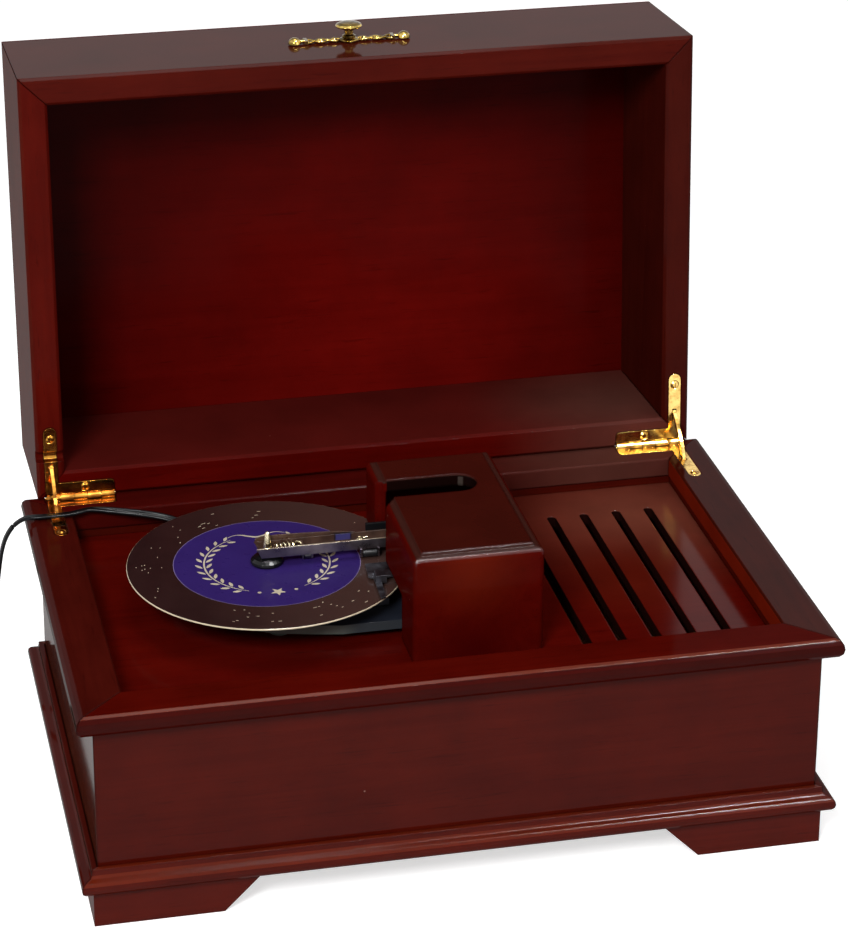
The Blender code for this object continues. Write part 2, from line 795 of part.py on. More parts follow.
def make_knob():
    """Turned brass knob on a backplate with ball finials, on the outside of the lid's front wall."""
    at = (0, -LID_D - GAP, PLATE_HEIGHT)
    turn = (pi / 2, 0, 0)
    half = PLATE_LEN / 2
    ball = half - FINIAL_R
    boss = KNOB_R * 0.72
    collar = ball - FINIAL_R * 0.7
    leaf = collar * 0.60
    upper = [
        (0, boss),
        (boss * 0.7, boss * 0.75),
        (boss * 1.1, 0.0014),
        (leaf * 0.62, 0.0022),
        (leaf * 0.80, 0.0018),
        (leaf, 0.0026),
        (leaf * 1.25, 0.0029),
        (collar * 0.93, 0.0015),
        (collar, 0.0013),
    ]
    right = upper + [(collar, -b) for a, b in upper[-1:]] + [(a, -b) for a, b in reversed(upper[:-1])]
    left = [(-a, b) for a, b in reversed(right) if a > 0]
    outline = [p for p in right if p[0] > 0]
    full = [(0, boss)] + outline + [(0, -boss)] + left
    backplate = part("knob_backplate", plate([full], 0, PLATE_T), BRASS, at, turn, LID_AXIS)
    for side, name in ((-1, "left"), (1, "right")):
        bm = bmesh.new()
        bmesh.ops.create_uvsphere(bm, u_segments=14, v_segments=9, radius=FINIAL_R)
        mesh = smooth(mesh_of(bm), 60)
        for vert in mesh.vertices:
            vert.co.z = max(vert.co.z, -FINIAL_R * 0.45)
        ball_at = Vector(at) + Vector((side * ball, -FINIAL_R * 0.55, 0))
        join(backplate, tool(f"finial_{name}", mesh, ball_at, turn, LID_AXIS))
    shank_r = 0.0017
    hole = tool("knob_hole", rod(shank_r + GAP, -0.001, PLATE_T + 0.001, sides=16), at, turn, LID_AXIS)
    cut(backplate, hole)
    low = PLATE_T + GAP
    profile = [
        (0, KNOB_H),
        (KNOB_R * 0.35, KNOB_H - 0.0001),
        (KNOB_R * 0.70, KNOB_H - 0.0005),
        (KNOB_R * 0.93, KNOB_H - 0.0012),
        (KNOB_R, KNOB_H - 0.0020),
        (KNOB_R * 0.90, KNOB_H - 0.0027),
        (KNOB_R * 0.55, KNOB_H - 0.0034),
        (0.0018, KNOB_H - 0.0042),
        (0.0018, low + 0.0014),
        (0.0030, low + 0.0006),
        (0.0030, low),
        (shank_r, low),
        (shank_r, 0.0001),
        (0, 0.0001),
    ]
    lathe("lid_knob", profile, BRASS, 24, at, turn, LID_AXIS)


def leaf_outline(side, back_low, back_high, side_far, grow=0.0):
    """L-shaped leaf on plan: back leg along X, side leg along Y with a round end.

    back_low and back_high are the back leg's edges and side_far is the end of the side leg, all in Y.
    """
    outer = LEAF_MID_X + LEAF_W / 2 + grow
    inner = LEAF_MID_X - LEAF_W / 2 - grow
    start = LEAF_MID_X + LEAF_W / 2 - LEAF_BACK_LEN - grow
    r = LEAF_W / 2 + grow
    end_y = side_far + LEAF_W / 2
    corner = 0.0016
    points = [(start, back_high + grow), (start, back_low - grow + corner)]
    points += [(start + corner * 0.3, back_low - grow + corner * 0.3), (start + corner, back_low - grow)]
    points += [(inner, back_low - grow)]
    points += arc((LEAF_MID_X, end_y), r, 180, 360, 8)
    points += [(outer, back_high + grow)]
    return [(side * x, y) for x, y in points]


def screw_mesh(grow=0.0, depth=SCREW_LEN):
    """Screw along -Z with its head's edge at height 0, or the room for it."""
    head = SCREW_HEAD_R + grow
    shank = SCREW_SHANK_R + grow
    top = SCREW_DOME if not grow else 0.002
    bm = bmesh.new()
    rings = []
    if grow:
        rings = [(head, top), (head, 0), (shank, -SCREW_SINK), (shank, -depth - grow)]
    else:
        rings = [(head * 0.55, top), (head, 0), (shank, -SCREW_SINK), (shank, -depth)]
    for (r0, z0), (r1, z1) in zip(rings, rings[1:]):
        bmesh.ops.create_cone(
            bm,
            cap_ends=False,
            segments=14,
            radius1=r1,
            radius2=r0,
            depth=z0 - z1,
            matrix=Matrix.Translation((0, 0, (z0 + z1) / 2)),
        )
    bmesh.ops.remove_doubles(bm, verts=bm.verts, dist=1e-6)
    bmesh.ops.holes_fill(bm, edges=bm.edges)
    return smooth(mesh_of(bm), 40)


def put_screw(name, at, turn, parent, leaf, woods):
    """A slotted screw through a leaf into wood."""
    screw = part(name, screw_mesh(), BRASS, at, turn, parent)
    slot = box((-0.00025, 0.00025), (-0.003, 0.003), (SCREW_DOME - 0.00035, 0.002))
    cut(screw, tool(f"{name}_slot", slot, at, turn, parent))
    room = tool(f"{name}_room", screw_mesh(GAP), at, turn, parent)
    for obj in (leaf, *woods):
        cut(obj, room)


def knuckle(low_z, high_z, x0, x1):
    """One knuckle round the axis with its tongue to a leaf, in (y, z) from the axis."""
    low_turn = 180 - degrees(asin(low_z / KNUCKLE_R))
    high_turn = 540 - degrees(asin(high_z / KNUCKLE_R))
    reach = -(KNUCKLE_R + 0.0011)
    outline = arc((0, 0), KNUCKLE_R, low_turn, high_turn, 16)
    outline += [(reach, high_z), (reach, low_z)]
    return plate([outline, circle((0, 0), BORE_R, 12)], x0, x1, across="x")


def notch_outline(grow):
    """The lead's notch in (y, z) from the lid's axis, with round inner corners."""
    soft = (NOTCH_FAR - NOTCH_NEAR) / 3
    low = -0.001 if not grow else 0
    near = (-NOTCH_NEAR - soft, NOTCH_DEEP - soft)
    far = (-NOTCH_FAR + soft, NOTCH_DEEP - soft)
    outline = [(-NOTCH_FAR - grow, low), (-NOTCH_NEAR + grow, low)]
    return outline + arc(near, soft + grow, 0, 90, 4) + arc(far, soft + grow, 90, 180, 4)


def lead_notch(lid_leaf, wall):
    """Notch in the lid's left rim that lets the lid shut over the lead, with the leaf stepped over it."""
    left = -LID_W / 2
    leg = (-LEAF_MID_X - LEAF_W / 2, -LEAF_MID_X + LEAF_W / 2)
    step = plate([notch_outline(LEAF_T * 0.8)], *leg, across="x")
    room = plate([notch_outline(LEAF_T * 0.8 + GAP)], leg[0] - GAP, leg[1] + GAP, across="x")
    join(lid_leaf, tool("leaf_step", step, parent=LID_AXIS))
    cut(wall, tool("leaf_step_room", room, parent=LID_AXIS))
    notch = plate([notch_outline(0)], left - 0.001, left + LID_WALL_T + 0.001, across="x")
    notch = tool("lead_notch", notch, parent=LID_AXIS)
    cut(lid_leaf, notch)
    cut(wall, notch)


def make_hinge(side, name, rails, case_walls, lid_walls):
    """Quadrant hinge on the left (side -1) or right (side 1)."""
    outer = LEAF_MID_X + LEAF_W / 2
    inner = outer - LEAF_BACK_LEN
    pitch = (outer - inner) / KNUCKLES
    clear = KNUCKLE_R + GAP

    # base leaf, flush with the frame
    high = AXIS_Y - clear
    outline = leaf_outline(side, high - LEAF_BACK_W, high, AXIS_Y - LEAF_SIDE_LEN)
    base = part(f"hinge_{name}_base_leaf", plate([outline], FRAME_TOP - LEAF_T, FRAME_TOP), BRASS)
    # lid leaf, flush with the rim, in the lid's own frame
    outline_lid = leaf_outline(side, -clear - LEAF_BACK_W, -clear, -LID_LEAF_SIDE_LEN)
    lid_leaf = part(
        f"hinge_{name}_lid_leaf", plate([outline_lid], 0, LEAF_T), BRASS, parent=LID_AXIS
    )
    for i in range(KNUCKLES):
        x0 = inner + i * pitch + GAP / 2
        x1 = inner + (i + 1) * pitch - GAP / 2
        span = sorted((side * x0, side * x1))
        if i % 2 == 0:
            mesh = knuckle(-0.0017, -HINGE_LIFT - 0.0001, *span)
            join(base, tool(f"knuckle_{name}_{i}", mesh, (0, AXIS_Y, AXIS_Z)))
        else:
            mesh = knuckle(0.0001, LEAF_T - 0.0001, *span)
            join(lid_leaf, tool(f"knuckle_{name}_{i}", mesh, parent=LID_AXIS))
    ends = sorted((side * (inner + 0.0002), side * (outer + 0.0004)))
    pin = rod(PIN_R, *ends, along="x", sides=12)
    part(f"hinge_{name}_pin", pin, BRASS, (0, AXIS_Y, AXIS_Z))

    # stay: its eye turns on a pin across the lid leaf's slot, its free end slides in the base leaf's slot
    stay_mid = side * LEAF_MID_X
    stay_x = (stay_mid - STAY_T / 2, stay_mid + STAY_T / 2)
    pin_z = LEAF_T / 2
    stay_axis = empty(
        f"stay_axis_{name}", (0, -STAY_PIN_OUT, pin_z), (STAY_TURN, 0, 0), LID_AXIS
    )
    steps = 8
    front_edge, back_edge = [], []
    for i in range(steps + 1):
        share = i / steps
        z = -STAY_LEN + (STAY_LEN - STAY_EYE_R * 0.6) * share
        bow = -STAY_BOW * sin(pi * share)
        half = STAY_W / 2 * min(1.0, 0.55 + 2.5 * share)
        front_edge.append((bow - half, z))
        back_edge.append((bow + half, z))
    eye = arc((0, 0), STAY_EYE_R, -36, 216, 10)
    outline = back_edge + eye + front_edge[::-1]
    stay = plate([outline, circle((0, 0), STAY_PIN_R + GAP, 10)], *stay_x, across="x")
    part(f"hinge_{name}_stay", stay, BRASS, parent=stay_axis)
    slot_x = (stay_x[0] - GAP, stay_x[1] + GAP)
    lid_slot = box(slot_x, (-LID_SLOT_FAR, -LID_SLOT_NEAR), (-0.001, LEAF_T + 0.001))
    cut(lid_leaf, tool(f"lid_slot_{name}", lid_slot, parent=LID_AXIS))
    cross = rod(STAY_PIN_R, slot_x[0] - 0.0008, slot_x[1] + 0.0008, along="x", sides=10)
    join(
        lid_leaf,
        tool(f"stay_pin_{name}", cross, (0, -STAY_PIN_OUT, pin_z), parent=LID_AXIS),
    )

    # rooms: leaf pockets, barrel groove, stay slot and mortise
    pocket = leaf_outline(side, high - LEAF_BACK_W, high + clear, AXIS_Y - LEAF_SIDE_LEN, GAP)
    base_room = tool(
        f"base_pocket_{name}", plate([pocket], FRAME_TOP - LEAF_T - GAP, FRAME_TOP + 0.002)
    )
    pocket = leaf_outline(side, -clear - LEAF_BACK_W, 0, -LID_LEAF_SIDE_LEN, GAP)
    lid_room = tool(
        f"lid_pocket_{name}", plate([pocket], -0.002, LEAF_T + GAP), parent=LID_AXIS
    )
    groove = sorted((side * (inner - 0.0005), side * (outer + 0.0008)))
    groove_base = tool(
        f"base_groove_{name}", rod(GROOVE_R, *groove, along="x"), (0, AXIS_Y, AXIS_Z)
    )
    groove_lid = tool(f"lid_groove_{name}", rod(GROOVE_R, *groove, along="x"), parent=LID_AXIS)
    slot = box(
        slot_x,
        (AXIS_Y - BASE_SLOT_FAR, AXIS_Y - BASE_SLOT_NEAR),
        (FRAME_TOP - 0.004, FRAME_TOP + 0.002),
    )
    cut(base, tool(f"stay_slot_{name}", slot))
    mortise = box(
        slot_x,
        (AXIS_Y - MORTISE_FAR, AXIS_Y - BASE_SLOT_NEAR),
        (AXIS_Z - MORTISE_DEEP, FRAME_TOP - LEAF_T),
    )
    mortise = tool(f"stay_mortise_{name}", mortise)
    eye_room = box(
        slot_x, (-LID_SLOT_FAR, -LID_SLOT_NEAR), (0, pin_z + STAY_EYE_R + 2 * GAP)
    )
    eye_room = tool(f"eye_room_{name}", eye_room, parent=LID_AXIS)
    side_name = "left" if side < 0 else "right"
    if side < 0:
        lead_notch(lid_leaf, lid_walls["left"])
    cut(rails[side_name], base_room, groove_base, mortise)
    cut(rails["back"], base_room, groove_base)
    cut(case_walls[side_name], mortise)
    cut(lid_walls[side_name], lid_room, groove_lid, eye_room)
    cut(lid_walls["back"], lid_room, groove_lid)

    # screws
    end = LEAF_SIDE_LEN - SCREW_FROM_END
    lean = (pi, 0, 0)
    put_screw(
        f"hinge_{name}_base_screw",
        (stay_mid, AXIS_Y - end, FRAME_TOP),
        (0, 0, radians(35 * side)),
        ORIGIN,
        base,
        (rails[side_name],),
    )
    put_screw(
        f"hinge_{name}_lid_side_screw",
        (stay_mid, -end + 0.0035, 0),
        lean,
        LID_AXIS,
        lid_leaf,
        (lid_walls[side_name],),
    )
    put_screw(
        f"hinge_{name}_lid_back_screw",
        (side * (inner + outer - 0.0040) / 2, -clear - LEAF_BACK_W / 2, 0),
        lean,
        LID_AXIS,
        lid_leaf,
        (lid_walls["back"],),
    )


def gear_outline(teeth, turn):
    """Gear teeth as plain trapezoids, with a tooth's middle at the given angle."""
    pitch_r = MODULE * teeth / 2
    tip = pitch_r + MODULE * 0.62
    root = pitch_r - MODULE * 1.05
    points = []
    for i in range(teeth):
        middle = turn + 2 * pi * i / teeth
        step = 2 * pi / teeth
        for share, radius in ((-0.27, root), (-0.11, tip), (0.11, tip), (0.27, root)):
            angle = middle + share * step
            points.append((radius * cos(angle), radius * sin(angle)))
    return points


def make_drive():
    """Bedplate, motor with its pinion, and the spindle with its wheel and platter."""
    low = BED_LOW
    outline = [
        (BED_RIGHT, BED_FRONT),
        (BED_RIGHT, BED_BACK),
        (BED_LEFT, BED_BACK),
    ]
    outline += [(BED_LEFT + x, BED_FRONT + y) for x, y in BED_CURVE]
    holes = [
        circle((HUB_X, HUB_Y), SPINDLE_R * 0.8 + GAP, 20),
        circle((MOTOR_X, MOTOR_Y), 0.0009 + GAP, 14),
    ]
    bed = part("bedplate", plate([outline, *holes], low, BED_TOP), BLACK_METAL)
    for i, (x, y) in enumerate(BED_FEET):
        foot = rod(BED_FOOT_R, DECK_TOP + GAP, low + 0.0010, sides=20)
        join(bed, tool(f"bed_foot_{i}", foot, (x, y, 0)))
    post_half = 0.0016
    left_x = STAR_FIRST_X - STAR_T / 2 - 0.0016
    right_x = STAR_FIRST_X + STAR_PITCH * (STAR_COUNT - 1) + STAR_T / 2 + 0.0006
    for name, x in (("left", left_x), ("right", right_x)):
        post = box(
            (x, x + 0.0010),
            (HUB_Y - post_half, HUB_Y + post_half),
            (BED_TOP - 0.001, STAR_Z + 0.0018),
        )
        join(bed, tool(f"star_post_{name}", post))
    bore = rod(STAR_SHAFT_R + GAP, left_x - 0.002, right_x + 0.003, along="x", sides=12)
    cut(bed, tool("star_bore", bore, (0, HUB_Y, STAR_Z)))

    # motor can under the bedplate, hanging through the deck
    can_top = low - GAP
    can = rod(MOTOR_R, can_top - MOTOR_H, can_top, sides=28)
    motor = part("drive_motor", can, STEEL, (MOTOR_X, MOTOR_Y, 0))
    bore = rod(0.0009 + GAP, can_top - 0.0045, can_top + 0.001, sides=14)
    cut(motor, tool("motor_bore", bore, (MOTOR_X, MOTOR_Y, 0)))
    turn = MOTOR_BEARING + pi + pi / PINION_TEETH
    pinion = plate([gear_outline(PINION_TEETH, turn)], GEAR_LOW - 0.0004, GEAR_LOW + GEAR_T + 0.0004)
    pinion = part("motor_pinion", pinion, BRASS, (MOTOR_X, MOTOR_Y, 0))
    shaft = rod(0.0009, can_top - 0.0042, GEAR_LOW + GEAR_T + 0.0016, sides=14)
    join(pinion, tool("motor_shaft", shaft, (MOTOR_X, MOTOR_Y, 0)))

    # spindle: shaft, platter and post through the disc, with the wheel joined on
    r = SPINDLE_R
    top = DISC_TOP + CAP_H - CAP_ROOF
    profile = [
        (0, top),
        (r * 0.8, top),
        (r, top - 0.0004),
        (r, DISC_UNDER - GAP),
        (PLATTER_R, DISC_UNDER - GAP),
        (PLATTER_R, DISC_UNDER - GAP - 0.0010),
        (r * 1.6, DISC_UNDER - GAP - 0.0016),
        (r * 1.6, BED_TOP + GAP),
        (r * 0.8, BED_TOP + GAP),
        (r * 0.8, low + GAP),
        (0, low + GAP),
    ]
    spindle = lathe("turntable_spindle", profile, STEEL, 24, (HUB_X, HUB_Y, 0))
    wheel = plate([gear_outline(GEAR_TEETH, MOTOR_BEARING)], GEAR_LOW, GEAR_LOW + GEAR_T)
    join(spindle, tool("spindle_wheel", wheel, (HUB_X, HUB_Y, 0)))
    return bed


def make_disc():
    """Tune disc and the cap that centres it."""
    bore = SPINDLE_R + GAP
    profile = [
        (bore, DISC_TOP),
        (DISC_R - 0.0002, DISC_TOP),
        (DISC_R, DISC_TOP - 0.0002),
        (DISC_R, DISC_UNDER),
        (bore, DISC_UNDER),
    ]
    lathe("tune_disc", profile, DISC_LACQUER, 72, (HUB_X, HUB_Y, 0), closed=True)
    low = DISC_TOP + GAP
    inside = low + CAP_H - CAP_ROOF
    profile = [
        (0, low + CAP_H),
        (CAP_R * 0.45, low + CAP_H - 0.0002),
        (CAP_R * 0.80, low + CAP_H - 0.0009),
        (CAP_R * 0.97, low + CAP_H - 0.0019),
        (CAP_R, low + 0.0006),
        (CAP_R * 0.96, low),
        (bore, low),
        (bore, inside),
        (0, inside),
    ]
    lathe("disc_cap", profile, BLACK_PLASTIC, 24, (HUB_X, HUB_Y, 0))


def make_comb():
    """Comb with its base, in front of the star wheels."""
    front = BED_FRONT + COMB_SET_BACK
    base_back = front + COMB_BASE_D
    right = STAR_FIRST_X + STAR_PITCH * (STAR_COUNT - 1) + 0.0014
    low = BED_TOP + GAP
    top = low + COMB_BASE_H
    comb = part("comb", box((COMB_LEFT, right), (front, base_back), (low, top)), STEEL)
    tips = HUB_Y - STAR_R - GAP
    teeth_left = STAR_FIRST_X - TOOTH_W / 2
    reeds = box((teeth_left, right), (base_back - 0.001, tips), (top - COMB_T, top))
    join(comb, tool("comb_reeds", reeds))
    cut_low = STAR_FIRST_X + TOOTH_W / 2
    saw = tool(
        "comb_saw",
        box(
            (cut_low, cut_low + STAR_PITCH - TOOTH_W),
            (base_back + 0.002, tips + 0.002),
            (top - COMB_T - 0.001, top + 0.001),
        ),
    )
    array = saw.modifiers.new("pitch", "ARRAY")
    array.use_relative_offset = False
    array.use_constant_offset = True
    array.constant_offset_displace = (STAR_PITCH, 0, 0)
    array.count = STAR_COUNT - 1
    cut(comb, saw)
    for i, x in enumerate((COMB_LEFT + 0.0040, COMB_LEFT + 0.0190, right - 0.0045)):
        head = rod(0.0018, top - 0.001, top + 0.0010, sides=14)
        join(comb, tool(f"comb_screw_{i}", head, (x, (front + base_back) / 2, 0)))


def make_stars():
    """Star wheels on their arbor, under the arm."""
    left = STAR_FIRST_X - STAR_T / 2 - 0.0026
    right = STAR_FIRST_X + STAR_PITCH * (STAR_COUNT - 1) + STAR_T / 2 + 0.0022
    shaft = rod(STAR_SHAFT_R, left, right, along="x", sides=8)
    stars = part("star_wheel_stack", shaft, BRASS, (0, HUB_Y, STAR_Z))
    outline = []
    for i in range(2 * STAR_POINTS):
        radius = STAR_R if i % 2 == 0 else STAR_R * 0.62
        angle = pi * i / STAR_POINTS
        outline.append((radius * cos(angle), radius * sin(angle)))
    first = (STAR_FIRST_X - STAR_T / 2, STAR_FIRST_X + STAR_T / 2)
    wheels = tool("star_wheels", plate([outline], *first, across="x"), (0, HUB_Y, STAR_Z))
    array = wheels.modifiers.new("pitch", "ARRAY")
    array.use_relative_offset = False
    array.use_constant_offset = True
    array.constant_offset_displace = (STAR_PITCH, 0, 0)
    array.count = STAR_COUNT
    join(stars, wheels)


def make_roller(name, arm, x, y, width, look):
    """A roller under the arm, its journals in two tabs of the arm."""
    z = DISC_TOP + GAP + ROLLER_R
    at = (x, y, z)
    tab_in = width / 2 + GAP
    tab_t = 0.0008
    for end, x0 in (("left", x - tab_in - tab_t), ("right", x + tab_in)):
        tab = box(
            (x0, x0 + tab_t), (y - 0.0012, y + 0.0012), (z - 0.0011, PIVOT_Z - ARM_DOWN + 0.0004)
        )
        join(arm, tool(f"{name}_tab_{end}", tab))
    reach = tab_in + tab_t + 0.0002
    bore = rod(ROLLER_JOURNAL_R + GAP, -reach - 0.0003, reach + 0.0003, along="x", sides=12)
    cut(arm, tool(f"{name}_roller_bore", bore, at))
    roller = part(f"roller_{name}", rod(ROLLER_R, -width / 2, width / 2, along="x", sides=20), look, at)
    journal = rod(ROLLER_JOURNAL_R, -reach, reach, along="x", sides=12)
    join(roller, tool(f"{name}_journal", journal, at))


def make_arm():
    """Pressure arm: a channel that swings up about a pin across it, with what it carries."""
    at = (PIVOT_X, HUB_Y, PIVOT_Z)
    half = ARM_W / 2
    t = ARM_WALL
    section = [
        (-half, -ARM_DOWN),
        (half, -ARM_DOWN),
        (half, ARM_UP),
        (half - t, ARM_UP),
        (half - t, -ARM_DOWN + t),
        (-half + t, -ARM_DOWN + t),
        (-half + t, ARM_UP),
        (-half, ARM_UP),
    ]
    arm = part("pressure_arm", plate([section], -ARM_REACH, ARM_TAIL, across="x"), DARK_STEEL, at)
    nose = [
        (-ARM_REACH - 0.001, -ARM_DOWN - 0.001),
        (-ARM_REACH + 0.0024, -ARM_DOWN - 0.001),
        (-ARM_REACH + 0.0016, -ARM_DOWN + 0.0006),
        (-ARM_REACH + 0.0003, ARM_UP - 0.0006),
        (-ARM_REACH - 0.001, ARM_UP),
    ]
    window = box(
        (-WINDOW_FAR, -WINDOW_FAR + WINDOW_LEN), (-0.0024, 0.0024), (-ARM_DOWN - 0.001, -ARM_DOWN + 0.002)
    )
    bore = rod(PIVOT_BORE_R, -half - 0.001, half + 0.001, along="y", sides=16)
    lug = box(
        (LUG_X, LUG_X + 0.0008),
        (HUB_Y - 0.0022, HUB_Y + 0.0022),
        (PIVOT_Z - ARM_DOWN + 0.0004, PIVOT_Z + 0.0016),
    )
    join(arm, tool("arm_lug", lug))
    cut(
        arm,
        tool("arm_nose", plate([nose], -half - 0.001, half + 0.001, across="y"), at),
        tool("arm_window", window, at),
        tool("arm_bore", bore, at),
    )
    make_roller("inner", arm, INNER_ROLLER_X, HUB_Y, INNER_ROLLER_W, DARK_STEEL)
    make_roller("outer", arm, OUTER_ROLLER_X, OUTER_ROLLER_Y, OUTER_ROLLER_W, RUBBER)

    # finger stud over the spindle
    floor = PIVOT_Z - ARM_DOWN + t + GAP
    profile = [
        (0, STUD_H),
        (0.0007, STUD_H - 0.0001),
        (0.0010, STUD_H - 0.0006),
        (0.0010, STUD_H - 0.0014),
        (0.0012, 0.0036),
        (0.0016, 0.0010),
        (0.0019, 0.0006),
        (0.0019, 0),
        (0, 0),
    ]
    lathe("arm_finger_stud", profile, BRASS, 16, (HUB_X, HUB_Y, floor))

    # latch spring in the channel
    spring = bpy.data.curves.new("spring", "CURVE")
    spring.dimensions = "3D"
    spring.bevel_depth = SPRING_WIRE / 2
    spring.bevel_resolution = 1
    spring.use_fill_caps = True
    count = SPRING_CURLS * 9
    line = spring.splines.new("POLY")
    line.points.add(count)
    for i, point in enumerate(line.points):
        angle = 2 * pi * i / 9
        x = SPRING_LEN * i / count
        point.co = (x, SPRING_R * cos(angle), SPRING_R * sin(angle), 1)
    start = (SPRING_X, HUB_Y, floor + SPRING_R + SPRING_WIRE / 2)
    part("arm_spring", curve_to_mesh(spring), BRASS, start)

    # pivot pin
    length = half + GAP + CHEEK_T + 0.0006
    pin = rod(PIVOT_R, -length, length, along="y", sides=16)
    part("arm_pivot_pin", pin, STEEL, at)


def make_bracket():
    """Black bracket on the bedplate: two cheeks beside the arm, the rear one with a horn."""
    low = BED_TOP + GAP
    right = BRACKET_FOOT_X + BRACKET_FOOT_L
    inner = ARM_W / 2 + GAP
    over = DISC_TOP + 0.0014
    nose_x = PIVOT_X - BRACKET_NOSE
    base = [
        (nose_x, over + 0.0012),
        (nose_x + 0.0015, over),
        (BRACKET_FOOT_X, over),
        (BRACKET_FOOT_X, low),
        (right, low),
        (right, CHEEK_TOP - 0.0030),
        (right - 0.0030, CHEEK_TOP),
    ]
    front_cheek = base + [(nose_x + 0.0025, CHEEK_TOP), (nose_x, CHEEK_TOP - 0.0025)]
    horn_x = PIVOT_X - REAR_HORN
    rear_cheek = base + [
        (horn_x, CHEEK_TOP),
        (horn_x, CHEEK_TOP - HORN_H),
        (nose_x, CHEEK_TOP - HORN_H - 0.0010),
    ]
    foot = box(
        (BRACKET_FOOT_X + 0.0001, right - 0.0001),
        (HUB_Y - inner - CHEEK_T / 2, HUB_Y + inner + CHEEK_T / 2),
        (low + 0.0001, low + 0.0022),
    )
    bracket = part("arm_bracket", foot, BLACK_METAL)
    spans = (
        ("front", front_cheek, HUB_Y - inner - CHEEK_T, HUB_Y - inner),
        ("rear", rear_cheek, HUB_Y + inner, HUB_Y + inner + CHEEK_T),
    )
    for name, outline, y0, y1 in spans:
        join(bracket, tool(f"cheek_{name}", plate([outline], y0, y1, across="y")))
    bore = rod(PIVOT_BORE_R, -0.012, 0.012, along="y", sides=16)
    cut(bracket, tool("bracket_bore", bore, (PIVOT_X, HUB_Y, PIVOT_Z)))


def make_guide():
    """Disc guide: strip, post, rivet, and a clipped finger at the disc's edge."""
    post_x = (BRACKET_FOOT_X + 0.0020, BRACKET_FOOT_X + 0.0085)
    top = GUIDE_Z + GUIDE_T
    finger_x = FINGER_X + FINGER_W
    outline = [
        (post_x[1], GUIDE_FRONT),
        (post_x[1], GUIDE_BACK),
        (GUIDE_END_X, GUIDE_BACK),
        (GUIDE_END_X - 0.0008, GUIDE_FRONT + 0.0014),
        (GUIDE_END_X + 0.0004, GUIDE_FRONT),
    ]
    finger = [
        (FINGER_X, GUIDE_FRONT + 0.0010),
        (FINGER_X - 0.0006, FINGER_FRONT + 0.0006),
        (FINGER_X, FINGER_FRONT),
        (finger_x - 0.0016, FINGER_FRONT),
        (finger_x, GUIDE_FRONT + 0.0010),
    ]
    guide = part("disc_guide", plate([outline], GUIDE_Z, top), STEEL)
    post = box(
        (post_x[0], post_x[1] - 0.0003),
        (GUIDE_FRONT + 0.0003, GUIDE_BACK - 0.0003),
        (BED_TOP + GAP, GUIDE_Z + 0.0004),
    )
    clip = box(
        (FINGER_X + 0.0003, finger_x + 0.0016),
        (GUIDE_FRONT - CLIP_D, GUIDE_FRONT + 0.0006),
        (GUIDE_Z + 0.0003, top + CLIP_H),
    )
    rivet = rod(0.0009, top - 0.0003, top + 0.0006, sides=12, end_radius=0.0006)
    join(
        guide,
        tool("guide_finger", plate([finger], GUIDE_Z + 0.0001, top - 0.0001)),
        tool("guide_post", post),
        tool("guide_clip", clip),
        tool("guide_rivet", rivet, (GUIDE_END_X + 0.0018, GUIDE_FRONT + 0.0024, 0)),
    )


def spread(route, step):
    """Points at an even step along a smooth curve through the route's own points."""
    points = [Vector(p) for p in route]
    points = [2 * points[0] - points[1], *points, 2 * points[-1] - points[-2]]
    dense = []
    for a, b, c, d in zip(points, points[1:], points[2:], points[3:]):
        for i in range(20):
            t = i / 20
            dense.append(
                0.5
                * (
                    2 * b
                    + (c - a) * t
                    + (2 * a - 5 * b + 4 * c - d) * t * t
                    + (3 * b - a - 3 * c + d) * t * t * t
                )
            )
    dense.append(points[-2])
    total = sum((q - p).length for p, q in zip(dense, dense[1:]))
    count = max(2, round(total / step))
    even, walked, k = [dense[0]], 0.0, 0
    for i in range(1, count):
        want = total * i / count
        while walked + (dense[k + 1] - dense[k]).length < want:
            walked += (dense[k + 1] - dense[k]).length
            k += 1
        share = (want - walked) / (dense[k + 1] - dense[k]).length
        even.append(dense[k].lerp(dense[k + 1], share))
    even.append(dense[-1])
    return even, total


def coil_points():
    """The coil's centre line: layers that spiral in and out, climbing in each reversing half turn."""
    per_layer = COIL_TURNS / COIL_LAYERS
    spread_r = per_layer * COIL_PITCH
    outer = COIL_MID_R + spread_r / 2
    count = round(COIL_TURNS * 24)
    points = []
    for i in range(count + 1):
        turn = COIL_TURNS * i / count
        phase = turn / per_layer
        layer = min(int(phase), COIL_LAYERS - 1)
        share = phase - layer
        inward = share if layer % 2 == 0 else 1 - share
        radius = outer - spread_r * inward
        height = 0.0
        for k in range(1, COIL_LAYERS):
            past = (turn - k * per_layer + 0.25) / 0.5
            eased = min(max(past, 0), 1)
            height += COIL_PITCH * eased * eased * (3 - 2 * eased)
        angle = pi / 2 + 2 * pi * turn
        points.append(
            Vector(
                (
                    COIL_CENTRE[0] + radius * cos(angle),
                    COIL_CENTRE[1] + radius * sin(angle),
                    COIL_LOW_Z + height,
                )
            )
        )
    return points


def least_self_gap(points, radius, apart):
    """The least gap between turns of a wound tube, measured on its points."""
    least = 1.0
    for i, p in enumerate(points):
        for q in points[i + apart :]:
            least = min(least, (p - q).length)
    return least - 2 * radius


def tube(name, points, radius, look, resolution):
    curve = bpy.data.curves.new(name, "CURVE")
    curve.dimensions = "3D"
    curve.bevel_depth = radius
    curve.bevel_resolution = resolution
    curve.use_fill_caps = True
    line = curve.splines.new("POLY")
    line.points.add(len(points) - 1)
    for point, place in zip(line.points, points):
        point.co = (*place, 1)
    return part(name, smooth(curve_to_mesh(curve), 60), look)


